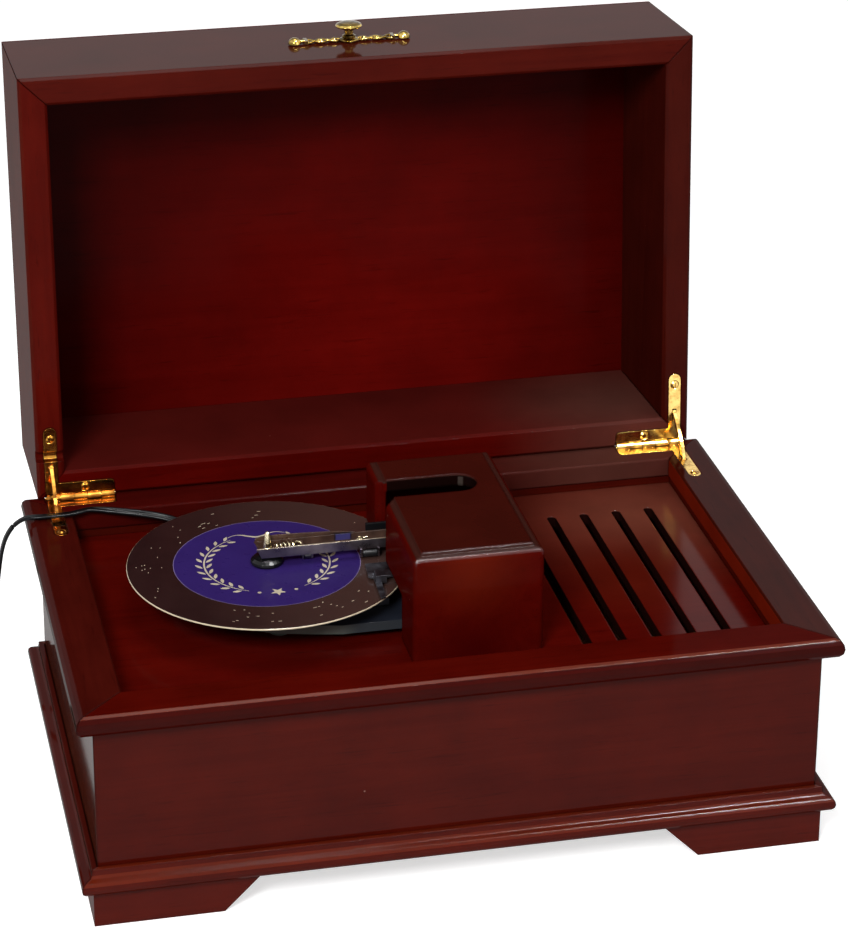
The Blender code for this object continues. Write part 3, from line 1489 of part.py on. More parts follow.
def make_cord():
    """Two-core lead from its clamp over the left rail, a coil put away beside the box, and the adapter."""
    first = Vector(CORD_ROUTE[0])
    way = (Vector(CORD_ROUTE[1]) - first).normalized()
    low = DECK_TOP + GAP
    angle = Vector((0, 1)).angle_signed(Vector((way.x, way.y)))
    clamp = box((-CLAMP_W / 2, CLAMP_W / 2), (-CLAMP_D, 0), (low, low + CLAMP_H))
    face = first - way * GAP
    part("cord_clamp", clamp, BLACK_PLASTIC, (face.x, face.y, 0), (0, 0, -angle))

    ring = coil_points()
    run_in = (ring[0] - ring[1]).normalized()
    last = (ring[-1] - ring[-2]).normalized()
    wound = [ring[0] + run_in * 2 * CORD_R, *ring, ring[-1] + last * 2 * CORD_R]
    route = [*CORD_ROUTE, wound[0] + run_in * (GAP + 2 * CORD_R), wound[0] + run_in * GAP]
    even, free = spread(route, 0.0042)
    tube("power_lead", even, CORD_R, BLACK_PLASTIC, 2)
    tube("lead_coil", wound, CORD_R, BLACK_PLASTIC, 1)
    length = free + sum((q - p).length for p, q in zip(wound, wound[1:]))
    print("lead length", round(length, 4), "m, free stretch", round(free, 4), "m")
    print("least gap between turns", round(1000 * least_self_gap(ring, CORD_R, 12), 3), "mm")
    print("coil starts at", [round(c, 5) for c in wound[0]], "ends at", [round(c, 5) for c in wound[-1]])

    mouth = wound[-1] + last * GAP
    turn = (0, 0, Vector((0, -1)).angle_signed(Vector((last.x, last.y))) * -1)
    height = mouth.z
    relief_y = -RELIEF_L
    levels = [(0.0012, 0), (0, 0.0012), *rounded_levels(0.0012, ADAPTER_H, 0.002, 2)[1:]]
    body = stacked(
        (-ADAPTER_W / 2, ADAPTER_W / 2), (relief_y - ADAPTER_L, relief_y), 0.003, levels
    )
    adapter = part("wall_adapter", body, BLACK_PLASTIC, (mouth.x, mouth.y, 0), turn)
    relief = rod(CORD_R + 0.0003, 0, RELIEF_L + 0.001, along="y", sides=16, end_radius=RELIEF_R)
    relief.transform(Matrix.Scale(-1, 4, (0, 1, 0)))
    relief.flip_normals()
    join(adapter, tool("adapter_relief", relief, (mouth.x, mouth.y, height), turn))
    far = relief_y - ADAPTER_L
    for name, x in (("a", -BLADE_SPREAD / 2), ("b", BLADE_SPREAD / 2)):
        blade = box(
            (x - BLADE[0] / 2, x + BLADE[0] / 2),
            (far - BLADE[1], far + 0.002),
            (ADAPTER_H / 2 - BLADE[2] / 2, ADAPTER_H / 2 + BLADE[2] / 2),
        )
        join(adapter, tool(f"adapter_blade_{name}", blade, (mouth.x, mouth.y, 0), turn))


def build():
    case_walls = make_case()
    make_plinth()
    make_feet()
    rails = make_frame()
    make_deck()
    make_cover()
    lid_walls = make_lid()
    make_knob()
    make_hinge(-1, "left", rails, case_walls, lid_walls)
    make_hinge(1, "right", rails, case_walls, lid_walls)
    make_drive()
    make_disc()
    make_comb()
    make_stars()
    make_arm()
    make_bracket()
    make_guide()
    make_cord()


build()
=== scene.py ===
"""Looks of the disc music box: lacquer, brass, printed disc, lead, light and camera.

Lengths are metres in the frame's axes: X to the right, Y to the back, Z up.
"""

import random
from math import cos, pi, radians, sin

import bmesh
import bpy
from mathutils import Matrix, Vector


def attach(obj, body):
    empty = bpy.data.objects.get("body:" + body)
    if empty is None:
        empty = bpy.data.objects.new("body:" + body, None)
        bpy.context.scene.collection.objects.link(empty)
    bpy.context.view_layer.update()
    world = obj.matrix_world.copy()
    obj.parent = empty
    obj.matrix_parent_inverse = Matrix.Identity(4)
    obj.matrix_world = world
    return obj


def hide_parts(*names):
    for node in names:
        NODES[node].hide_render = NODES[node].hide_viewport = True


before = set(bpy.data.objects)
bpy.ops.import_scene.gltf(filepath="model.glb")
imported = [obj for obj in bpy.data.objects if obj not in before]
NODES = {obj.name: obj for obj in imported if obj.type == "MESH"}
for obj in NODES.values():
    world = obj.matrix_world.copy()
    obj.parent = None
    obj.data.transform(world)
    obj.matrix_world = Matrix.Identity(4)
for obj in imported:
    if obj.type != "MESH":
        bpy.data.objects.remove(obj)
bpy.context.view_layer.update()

# The CAD layout's middle lies this far in front of the frame's origin
SHIFT = 0.03995718538671103
HUB = Vector((-0.0611, 0.0054 - SHIFT, 0))
DISC_TOP = 0.0992
DISC_R = 0.0575
LABEL_R = 0.0385
LABEL_RIM_WIDTH = 0.0003
HINGE_AXIS = Vector((0, 0.0930 - SHIFT, 0.0944))
LID_OPEN = radians(94)
LID_DEPTH = 0.1865
KNOB_HEIGHT = 0.0295
COVER_TOP = 0.1285
COVER_SLOT_Y = 0.0035 - SHIFT
COVER_SLOT_HALF = 0.0082
ARM_FLOOR = 0.1040
ARM_EDGE = 0.1074
GUIDE_Y = -0.0199 - SHIFT
GUIDE_TOP = 0.1012
CORD_R = 0.0016

LEFT, RIGHT = (-1, 0, 0), (1, 0, 0)
FRONT, BACK = (0, -1, 0), (0, 1, 0)
DOWN, UP = (0, 0, -1), (0, 0, 1)
# Between top and front, on the rounded edges and on the frame's nose
EDGE = (0, -0.6, 0.8)
NOSE = (0, -0.42, 0.91)


# ---------------------------------------------------------------- shader helpers


def fill(tree, node, inputs):
    """Fills a node's inputs, each with a value or with another node's output."""
    for key, value in inputs.items():
        socket = node.inputs[key]
        if isinstance(value, bpy.types.NodeSocket):
            tree.links.new(value, socket)
        else:
            socket.default_value = value


def shader(tree, kind, inputs=None, **settings):
    """A shader node with its settings and inputs."""
    made = tree.nodes.new("ShaderNode" + kind)
    for key, value in settings.items():
        setattr(made, key, value)
    fill(tree, made, inputs or {})
    return made


def new_material(name):
    material = bpy.data.materials.new(name)
    material.use_nodes = True
    tree = material.node_tree
    return material, tree, tree.nodes["Principled BSDF"]


def tone_of(material):
    """The material's tree, its shader and the output that feeds its colour."""
    tree = material.node_tree
    principled = tree.nodes["Principled BSDF"]
    return tree, principled, principled.inputs["Base Color"].links[0].from_socket


def grey(value):
    return (value, value, value)


def scaled(values, factor):
    return tuple(value * factor for value in values)


def ramp(tree, factor, stops):
    """A colour ramp from (position, colour) stops."""
    made = shader(tree, "ValToRGB", {"Fac": factor})
    elements = made.color_ramp.elements
    while len(elements) < len(stops):
        elements.new(0.5)
    for element, (position, colour) in zip(elements, stops):
        element.position = position
        element.color = (*colour, 1)
    return made.outputs["Color"]


def place(tree, scale=(1, 1, 1), at=(0, 0, 0)):
    """Object coordinates, scaled and moved."""
    coords = shader(tree, "TexCoord").outputs["Object"]
    made = shader(tree, "Mapping", {"Vector": coords, "Location": at, "Scale": scale})
    return made.outputs["Vector"]


def grain_scale(axis, along, across):
    """Texture scale of a grain that runs along one axis."""
    return tuple(along if one == axis else across for one in "xyz")


def noise(tree, vector, scale, detail=3.0, roughness=0.5, distortion=0.0):
    inputs = {
        "Vector": vector,
        "Scale": scale,
        "Detail": detail,
        "Roughness": roughness,
        "Distortion": distortion,
    }
    return shader(tree, "TexNoise", inputs).outputs["Fac"]


def mottle(tree, scale, low, high, detail=4.0, roughness=0.6, top=0.75):
    """A cloudy change between two colours."""
    clouds = noise(tree, place(tree), scale, detail, roughness)
    return ramp(tree, clouds, [(0.3, low), (top, high)])


def mix(tree, factor, a, b, blend="MIX"):
    """Colours a and b mixed by a factor."""
    made = shader(tree, "Mix", data_type="RGBA", blend_type=blend)
    a, b = ((*one, 1) if isinstance(one, tuple) else one for one in (a, b))
    # the node has a pair of inputs for each kind of data, and 6 and 7 are the colours
    fill(tree, made, {0: factor, 6: a, 7: b})
    return made.outputs[2]


def tinted(tree, colour, tint):
    return mix(tree, 1.0, colour, tint, "MULTIPLY")


def math_node(tree, operation, a, b):
    return shader(tree, "Math", {0: a, 1: b}, operation=operation).outputs[0]


def times(tree, a, b):
    return math_node(tree, "MULTIPLY", a, b)


def opposite(tree, value):
    return math_node(tree, "SUBTRACT", 1.0, value)


def span(tree, value, low, high, start=0.0, end=1.0):
    """A value's smooth change from start to end between low and high."""
    inputs = {"Value": value, "From Min": low, "From Max": high, "To Min": start, "To Max": end}
    made = shader(tree, "MapRange", inputs, interpolation_type="SMOOTHSTEP")
    return made.outputs["Result"]


def facing(tree, way, low=0.45, high=0.8):
    """1 where the piece's own surface faces a direction."""
    normal = shader(tree, "TexCoord").outputs["Normal"]
    dot = shader(tree, "VectorMath", {0: normal, 1: way}, operation="DOT_PRODUCT")
    return span(tree, dot.outputs["Value"], low, high)


def axis_value(tree, axis):
    """The object coordinate along one axis."""
    coords = shader(tree, "TexCoord").outputs["Object"]
    return shader(tree, "SeparateXYZ", {0: coords}).outputs[axis]


def distance(tree, point):
    """The distance from a point."""
    coords = shader(tree, "TexCoord").outputs["Object"]
    made = shader(tree, "VectorMath", {0: coords, 1: tuple(point)}, operation="DISTANCE")
    return made.outputs["Value"]


def within(tree, low, high, soft=0.0003):
    """1 inside a box, which has no bounds along an axis whose low is None."""
    inside = None
    for i, axis in enumerate("XYZ"):
        if low[i] is None:
            continue
        value = axis_value(tree, axis)
        rise = span(tree, value, low[i] - soft, low[i])
        fall = span(tree, value, high[i], high[i] + soft, 1.0, 0.0)
        both = times(tree, rise, fall)
        inside = both if inside is None else times(tree, inside, both)
    return inside


def set_bump(tree, principled, height, strength, depth, edge=0.0):
    """Bump on the shader, over edges softened by a bevel of the given radius."""
    inputs = {"Height": height, "Strength": strength, "Distance": depth}
    if edge:
        soft = shader(tree, "Bevel", {"Radius": edge}, samples=4).outputs["Normal"]
        inputs["Normal"] = soft
        fill(tree, principled, {"Coat Normal": soft})
    bump = shader(tree, "Bump", inputs)
    fill(tree, principled, {"Normal": bump.outputs["Normal"]})


# ---------------------------------------------------------------- wood


def glowing(tree, colour, cloud, glows):
    """The colour with soft round patches of painted light and shade over it."""
    for middle, reach, there in glows:
        near = span(tree, distance(tree, middle), 0.0, reach, 1.0, 0.0)
        colour = mix(tree, near, colour, tinted(tree, cloud, there))
    return colour


def shaded_off(tree, colour, vignette):
    """Painted shade: the colour made darker on the front, away from a middle."""
    middle, reach, factor = vignette
    shade = span(tree, distance(tree, middle), 0.0, reach, 1.0, factor)
    shade = span(tree, facing(tree, FRONT), 0.0, 1.0, 0.8, shade)
    tint = shader(tree, "CombineXYZ", {0: shade, 1: shade, 2: shade}).outputs[0]
    return tinted(tree, colour, tint)


def dusted(tree, colour):
    """The colour with a few pale specks over it."""
    cells = shader(tree, "TexVoronoi", {"Vector": place(tree), "Scale": 75.0})
    dot = span(tree, cells.outputs["Distance"], 0.020, 0.036, 1.0, 0.0)
    cell_value = shader(tree, "SeparateColor", {0: cells.outputs["Color"]}).outputs[0]
    speck = times(tree, dot, span(tree, cell_value, 0.94, 0.95))
    return mix(tree, times(tree, speck, 0.5), colour, (0.34, 0.19, 0.16))


def mahogany(
    name,
    grain="x",
    light=(0.074, 0.0052, 0.0019),
    dark=(0.052, 0.0028, 0.0011),
    seed=0.0,
    coat=0.13,
    coat_rough=0.08,
    faces=(),
    boxes=(),
    glows=(),
    late_glows=(),
    vignette=None,
    edge=0.0008,
):
    """Red stained wood under clear lacquer.

    faces: (direction, colour or None, coat there, from, to) for surfaces that face a direction; a
    colour there is painted light and shade
    boxes: (low corner, high corner, colour)
    glows: (middle, reach, colour) of painted light and shade, the late ones over the faces too
    vignette: (middle, reach, factor) of painted shade on the surface that faces the front
    """
    material, tree, principled = new_material(name)
    scale = grain_scale(grain, 55.0, 900.0)
    flecks = noise(tree, place(tree, scale, (seed, seed, seed)), 1.0, 3.0, 0.6, 0.3)
    wide = place(tree, scaled(scale, 0.16), (seed + 3, seed, seed))
    figure = noise(tree, wide, 1.0, 4.0, 0.6, 0.9)
    blotch = noise(tree, place(tree, at=(seed, seed + 5, seed)), 30.0, 4.0, 0.6)
    fleck_mask = ramp(tree, flecks, [(0.24, grey(0.75)), (0.40, grey(0.0))])
    stain = ramp(tree, figure, [(0.22, dark), (0.78, light)])
    stain = mix(tree, fleck_mask, stain, scaled(dark, 0.6))
    cloud = ramp(tree, blotch, [(0.25, grey(0.82)), (0.78, grey(1.20))])
    colour = tinted(tree, stain, cloud)
    if vignette:
        colour = shaded_off(tree, colour, vignette)
    colour = glowing(tree, colour, cloud, glows)
    weight = coat
    for way, there, shine, start, end in faces:
        mask = facing(tree, way, start, end)
        if there:
            colour = mix(tree, mask, colour, tinted(tree, cloud, there))
        weight = span(tree, mask, 0.0, 1.0, weight, shine)
    colour = glowing(tree, colour, cloud, late_glows)
    for low_corner, high_corner, there in boxes:
        colour = mix(tree, within(tree, low_corner, high_corner), colour, there)
    inputs = {
        "Base Color": dusted(tree, colour),
        "Roughness": mottle(tree, 60.0, grey(0.40), grey(0.62), top=0.8),
        "Specular IOR Level": 0.0,
        "Coat Weight": weight,
        "Coat Roughness": coat_rough,
    }
    fill(tree, principled, inputs)
    pores = ramp(tree, flecks, [(0.2, grey(0)), (0.8, grey(1))])
    height = mix(tree, 0.5, pores, noise(tree, place(tree), 700.0, 2.0))
    set_bump(tree, principled, height, 0.05, 0.0004, edge)
    return material


def red(factor, low=None):
    """Lighter and darker stain of the lid, with the red and the other colours scaled; each wall's
    own factors are painted light and shade.
    """
    low = factor if low is None else low
    return (
        (0.108 * factor, 0.0062 * low, 0.0030 * low),
        (0.078 * factor, 0.0034 * low, 0.0018 * low),
    )


WOOD_X = mahogany(
    "lacquered_wood_x", "x", (0.066, 0.0046, 0.0017), (0.046, 0.0025, 0.0010),
    coat=0.125,
    faces=[(UP, None, 0.42, 0.5, 0.9)],
)
WOOD_PLINTH = mahogany(
    "lacquered_plinth", "x", (0.072, 0.0052, 0.0018), (0.050, 0.0028, 0.0010), 6.9,
    # painted highlights: the rounded edges and the top lighter and more orange
    faces=[
        (EDGE, (0.108, 0.0115, 0.0036), 0.22, 0.75, 0.95),
        (UP, (0.105, 0.0110, 0.0034), 0.30, 0.8, 0.97),
    ],
)
WOOD_Y = mahogany("lacquered_wood_y", "y", seed=2.3)
WOOD_LEFT = mahogany(
    "lacquered_wood_left", "y",
    seed=3.7,
    # painted reflection: the side to the left greyer
    faces=[(LEFT, (0.044, 0.0075, 0.0032), 0.28, 0.8, 0.95)],
)
WOOD_FEET = mahogany(
    "lacquered_feet", "x", (0.084, 0.0062, 0.0022), (0.056, 0.0032, 0.0012), 4.9,
    coat=0.15,
)
# The four rails are one wood, their colours set rail by rail as painted light and shade
WOOD_FRAME = mahogany(
    "lacquered_frame", "x", (0.072, 0.0028, 0.0010), (0.056, 0.0016, 0.0006), 1.1,
    coat=0.20,
    faces=[
        (UP, None, 0.035, 0.8, 0.97),
        # painted shade on the front face, and a painted highlight line along the nose
        (FRONT, (0.034, 0.0020, 0.0010), 0.08, 0.60, 0.90),
        (NOSE, (0.120, 0.017, 0.007), 0.20, 0.970, 0.995),
    ],
)
WOOD_FRAME_BACK = mahogany(
    "lacquered_frame_back", "x", (0.060, 0.0030, 0.0020), (0.044, 0.0020, 0.0014), 1.9,
    coat=0.012,
    # a painted pool of light at the right
    late_glows=[((0.105, 0.052, 0.092), 0.075, (0.085, 0.026, 0.019))],
)
WOOD_FRAME_RIGHT = mahogany(
    "lacquered_frame_right", "y", (0.044, 0.0046, 0.0020), (0.030, 0.0028, 0.0013), 5.1,
    coat=0.10,
    faces=[
        (UP, None, 0.180, 0.6, 0.9),
        # painted light on the inner wall, which faces left
        (LEFT, (0.150, 0.0095, 0.0022), 0.06, 0.7, 0.95),
    ],
    # a painted highlight line where the rail meets the deck
    boxes=[((0.1300, -0.1180, 0.0818), (0.1330, 0.0350, 0.0829), (0.330, 0.060, 0.010))],
)
WOOD_FRAME_LEFT = mahogany(
    "lacquered_frame_left", "y", (0.056, 0.0046, 0.0026), (0.038, 0.0028, 0.0016), 6.3,
    coat=0.12,
    # painted reflection: the outer side greyer
    faces=[(LEFT, (0.030, 0.010, 0.006), 0.20, 0.85, 0.98)],
)
WOOD_DECK = mahogany(
    "lacquered_deck", "x", (0.080, 0.0026, 0.0009), (0.058, 0.0014, 0.0006), 7.7,
    coat=0.30,
    coat_rough=0.15,
    glows=[
        # painted light over the deck's right part
        ((0.110, 0.010, 0.082), 0.085, (0.125, 0.030, 0.018)),
        ((0.092, -0.045, 0.082), 0.055, (0.074, 0.0050, 0.0020)),
    ],
    # painted shade inside the sound slots
    boxes=[((None, None, 0.0500), (None, None, 0.0812), (0.0130, 0.0030, 0.0022))],
)
WOOD_COVER = mahogany(
    "lacquered_cover", "y", (0.074, 0.0022, 0.0008), (0.055, 0.0012, 0.0005), 8.9,
    coat=0.10,
    coat_rough=0.11,
    edge=0.0018,
    faces=[
        (EDGE, None, 0.55, 0.5, 0.9),
        (FRONT, None, 0.020, 0.8, 0.98),
        # the top painted darker and browner, a painted reflection
        (UP, (0.038, 0.0040, 0.0022), 0.38, 0.62, 0.95),
    ],
    glows=[
        # painted light high on the front, painted shade low on it
        ((0.010, -0.101, 0.122), 0.030, (0.092, 0.0062, 0.0018)),
        ((0.012, -0.101, 0.084), 0.024, (0.044, 0.0006, 0.0004)),
    ],
    boxes=[
        # painted shade on the step round the raised panel and in the arm's slot, and a
        # greyish-brown patch on the slot's far wall at its right end
        (
            (None, None, COVER_TOP - 0.0012),
            (None, None, COVER_TOP - 0.00025),
            (0.040, 0.011, 0.008),
        ),
        (
            (-0.0095, COVER_SLOT_Y - COVER_SLOT_HALF, 0.0950),
            (0.0268, COVER_SLOT_Y + COVER_SLOT_HALF, COVER_TOP - 0.0007),
            (0.0070, 0.0020, 0.0016),
        ),
        (
            (0.0205, COVER_SLOT_Y + 0.0070, 0.1195),
            (0.0250, COVER_SLOT_Y + 0.0087, COVER_TOP - 0.0012),
            (0.050, 0.036, 0.030),
        ),
    ],
)
# The lid's walls are one wood, each scaled lighter and darker by red() as painted light and shade
LID_TOP = mahogany(
    "lid_top", "x", *red(0.66, 0.9), 9.3,
    coat=0.045,
    # painted reflection on the face turned up
    faces=[(UP, (0.052, 0.0060, 0.0026), 0.235, 0.6, 0.9)],
)
LID_LEFT = mahogany(
    "lid_left", "z", *red(0.76), 10.1,
    coat=0.030,
    # painted reflection: the side to the left greyer
    faces=[(LEFT, (0.072, 0.0100, 0.0042), 0.088, 0.6, 0.9)],
)
LID_RIGHT = mahogany(
    "lid_right", "z", *red(0.50, 0.8), 11.3,
    coat=0.045,
    faces=[(RIGHT, None, 0.12, 0.6, 0.9)],
)
LID_LOW = mahogany(
    "lid_low", "x", *red(0.74, 0.30), 12.7,
    coat=0.012,
    faces=[
        (DOWN, None, 0.12, 0.6, 0.9),
        # painted reflection on the face turned up
        (UP, (0.080, 0.0066, 0.0050), 0.070, 0.6, 0.9),
    ],
    # a painted pool of light at the right
    late_glows=[((0.120, 0.080, 0.104), 0.075, (0.098, 0.031, 0.023))],
)
LID_INSIDE = mahogany(
    "lid_inside", "x", (0.126, 0.0030, 0.0018), (0.100, 0.0019, 0.0012), 13.9,
    coat=0.022,
    coat_rough=0.16,
    faces=[(BACK, None, 0.12, 0.6, 0.9)],
    # painted shade towards the walls; the inside is also a lighter copy of the lid's wood
    vignette=((0.025, 0.117, 0.108), 0.19, 0.32),
)
PLY = mahogany("stained_ply", "x", (0.11, 0.045, 0.022), (0.055, 0.02, 0.01))


# ---------------------------------------------------------------- metal and plastic

METAL_EDGE = 0.00015


def metal(name, colour, roughness, dark_reflection=None, patches=160.0, contrast=(0.35, 0.65), brushed=False):
    """Polished metal, or brushed along X, with patches of painted darker reflection and faint
    handling marks in its roughness.
    """
    material, tree, principled = new_material(name)
    reflections_and_smudges = noise(tree, place(tree), patches, 4.0, 0.6)
    dark_reflection = dark_reflection or scaled(colour, 0.86)
    spread = [(0.3, grey(roughness * 0.75)), (0.75, grey(roughness * 1.5))]
    inputs = {
        "Base Color": ramp(tree, reflections_and_smudges, [(contrast[0], dark_reflection), (contrast[1], colour)]),
        "Roughness": ramp(tree, reflections_and_smudges, spread),
        "Metallic": 1.0,
    }
    fill(tree, principled, inputs)
    if brushed:
        height = noise(tree, place(tree, grain_scale("x", 60, 9000)), 1.0, 2.0, 0.7)
        set_bump(tree, principled, height, 0.12, 0.00005, METAL_EDGE)
    else:
        height = noise(tree, place(tree), 700.0, 3.0)
        set_bump(tree, principled, height, 0.06, 0.00006, METAL_EDGE)
    return material


def plastic(name, colour, roughness, level, coat=0.0, edge=0.0002):
    """Moulded plastic or paint with a fine skin."""
    material, tree, principled = new_material(name)
    inputs = {
        "Base Color": mottle(tree, 90.0, scaled(colour, 0.8), scaled(colour, 1.2), roughness=0.5),
        "Roughness": roughness,
        "Specular IOR Level": level,
        "Coat Weight": coat,
        "Coat Roughness": 0.08,
    }
    fill(tree, principled, inputs)
    set_bump(tree, principled, noise(tree, place(tree), 2200.0, 2.0), 0.12, 0.00005, edge)
    return material


def make_arm_steel():
    """Grey brushed channel: a polished front edge with a painted highlight, a painted brown
    reflection of the wood inside and behind, and a painted window onto the lit blue label.
    """
    material = metal(
        "arm_steel", (0.30, 0.265, 0.29), 0.28, (0.17, 0.145, 0.165), 70.0, brushed=True
    )
    tree, principled, tone = tone_of(material)
    height = axis_value(tree, "Z")
    behind = span(tree, axis_value(tree, "Y"), HUB.y - 0.0034, HUB.y - 0.0031)
    # painted highlight on the polished front edge
    edge = times(tree, facing(tree, UP), opposite(tree, behind))
    edge = times(tree, edge, span(tree, height, ARM_EDGE - 0.0012, ARM_EDGE - 0.0006))
    # the floor inside and behind: a painted brown reflection of the wood, not metal
    inside = times(tree, behind, span(tree, height, ARM_FLOOR - 0.0003, ARM_FLOOR - 0.0001))
    painted_brown_reflection = mottle(tree, 300.0, (0.045, 0.021, 0.014), (0.090, 0.046, 0.031), 3.0, 0.5)
    # a painted window: a dark rim of painted shade, and the blue label inside it painted as if lit
    near_y, far_y, low_z = HUB.y + 0.0025, HUB.y + 0.0050, ARM_FLOOR + 0.0008
    pane_rim = within(tree, (-0.0322, near_y, low_z), (-0.0252, far_y, ARM_FLOOR + 0.0038))
    pane = within(tree, (-0.0316, near_y, low_z), (-0.0258, far_y, ARM_FLOOR + 0.0032))
    tone = mix(tree, inside, tone, painted_brown_reflection)
    tone = mix(tree, pane_rim, tone, (0.012, 0.008, 0.014))
    tone = mix(tree, pane, tone, (0.050, 0.044, 0.165))
    tone = mix(tree, edge, tone, (0.92, 0.83, 0.60))
    fill(tree, principled, {"Base Color": tone, "Metallic": opposite(tree, inside)})
    return material


def make_knob_brass():
    """Old brass, with a painted dark reflection where it faces up, as if to a dark room."""
    material = metal(
        "knob_brass", (0.74, 0.53, 0.15), 0.11, (0.16, 0.105, 0.02), 300.0, (0.36, 0.60)
    )
    tree, principled, tone = tone_of(material)
    shaded = tinted(tree, tone, (0.26, 0.24, 0.22))
    upward = facing(tree, (0, 0.25, 0.97), 0.35, 0.80)
    fill(tree, principled, {"Base Color": mix(tree, upward, tone, shaded)})
    return material


def make_plate_black():
    """Dark bedplate: its sides painted a lighter grey than its top, and a painted dull grey sheen
    on its front left.
    """
    material = plastic("black_metal", (0.012, 0.015, 0.024), 0.36, 0.35)
    tree, principled, tone = tone_of(material)
    side = opposite(tree, facing(tree, UP, 0.3, 0.6))
    left = span(tree, axis_value(tree, "X"), -0.0420, -0.0300, 1.0, 0.0)
    tone = mix(tree, side, tone, (0.030, 0.036, 0.042))
    tone = mix(tree, times(tree, left, side), tone, (0.120, 0.130, 0.115))
    fill(tree, principled, {"Base Color": tone})
    return material


BRASS = metal("polished_brass", (0.92, 0.63, 0.20), 0.13, (0.46, 0.25, 0.055), 210.0, (0.38, 0.56))
# a darker copy of the polished brass: painted shade on the left hinge and the star wheels
BRASS_LEFT = metal(
    "shaded_brass", (0.58, 0.27, 0.045), 0.14, (0.17, 0.055, 0.010), 120.0, (0.36, 0.66)
)
PALE_BRASS = metal("pale_brass", (0.86, 0.76, 0.52), 0.18, (0.36, 0.30, 0.19), 300.0)
KNOB_BRASS = make_knob_brass()
STEEL = metal("bright_steel", (0.62, 0.62, 0.64), 0.24)
ARM_STEEL = make_arm_steel()
GUIDE_STEEL = metal("blued_steel", (0.15, 0.15, 0.17), 0.34, (0.07, 0.068, 0.08))
DARK_STEEL = metal("dark_steel", (0.12, 0.115, 0.13), 0.30)
COMB_STEEL = metal("comb_steel", (0.10, 0.10, 0.12), 0.35)
PLATE_BLACK = make_plate_black()
BLACK_PAINT = plastic("black_paint", (0.0035, 0.0035, 0.0045), 0.40, 0.14)
GLOSS_BLACK = plastic("gloss_black_plastic", (0.005, 0.005, 0.006), 0.20, 0.22, coat=0.05)
BLACK_PLASTIC = plastic("black_plastic", (0.008, 0.008, 0.009), 0.42, 0.22)
SHEATH = plastic("cord_sheath", (0.0035, 0.0035, 0.0045), 0.20, 0.13, edge=0.0)
RUBBER = plastic("black_rubber", (0.007, 0.007, 0.008), 0.42, 0.3)


# ---------------------------------------------------------------- disc materials


def make_disc_lacquer():
    """Maroon lacquer on top with painted light towards the right, and pale bare metal at the rim.
    """
    material, tree, principled = new_material("disc_lacquer")
    tone = mottle(tree, 45.0, (0.014, 0.0058, 0.0060), (0.024, 0.0100, 0.0095))
    # painted light: paler and browner towards the right
    across = span(tree, axis_value(tree, "X"), HUB.x - 0.050, HUB.x + 0.055)
    tone = mix(tree, across, tone, (0.052, 0.027, 0.022))
    side = opposite(tree, facing(tree, UP, 0.3, 0.7))
    outward = distance(tree, HUB + Vector((0, 0, DISC_TOP)))
    rim = span(tree, outward, DISC_R - 0.0003, DISC_R - 0.0001)
    rim = math_node(tree, "MAXIMUM", side, rim)
    inputs = {
        "Base Color": mix(tree, rim, tone, (0.74, 0.62, 0.44)),
        "Roughness": mottle(tree, 120.0, grey(0.16), grey(0.24), 3.0, 0.5, 0.8),
        "Specular IOR Level": 0.42,
    }
    fill(tree, principled, inputs)
    set_bump(tree, principled, noise(tree, place(tree), 500.0, 2.0), 0.04, 0.00005)
    return material


def make_print(name, colour, low, level=0.3):
    """Printed ink with a fine mottle."""
    material, tree, principled = new_material(name)
    inputs = {
        "Base Color": mottle(tree, 70.0, low, colour),
        "Roughness": mottle(tree, 160.0, grey(0.26), grey(0.36), 3.0, 0.5, 0.8),
        "Specular IOR Level": level,
    }
    fill(tree, principled, inputs)
    set_bump(tree, principled, noise(tree, place(tree), 800.0, 2.0), 0.03, 0.00004)
    return material


DISC_LACQUER = make_disc_lacquer()
LABEL_INK = make_print("label_ink", (0.030, 0.015, 0.118), (0.025, 0.012, 0.100), 0.05)
LABEL_RIM = make_print("label_rim", (0.20, 0.15, 0.30), (0.13, 0.10, 0.22), 0.15)
CREAM_INK = make_print("cream_ink", (0.62, 0.55, 0.42), (0.44, 0.38, 0.27))
BARE_SLOT = make_print("bare_slot", (0.80, 0.70, 0.52), (0.45, 0.36, 0.26))


# ---------------------------------------------------------------- materials of the CAD nodes

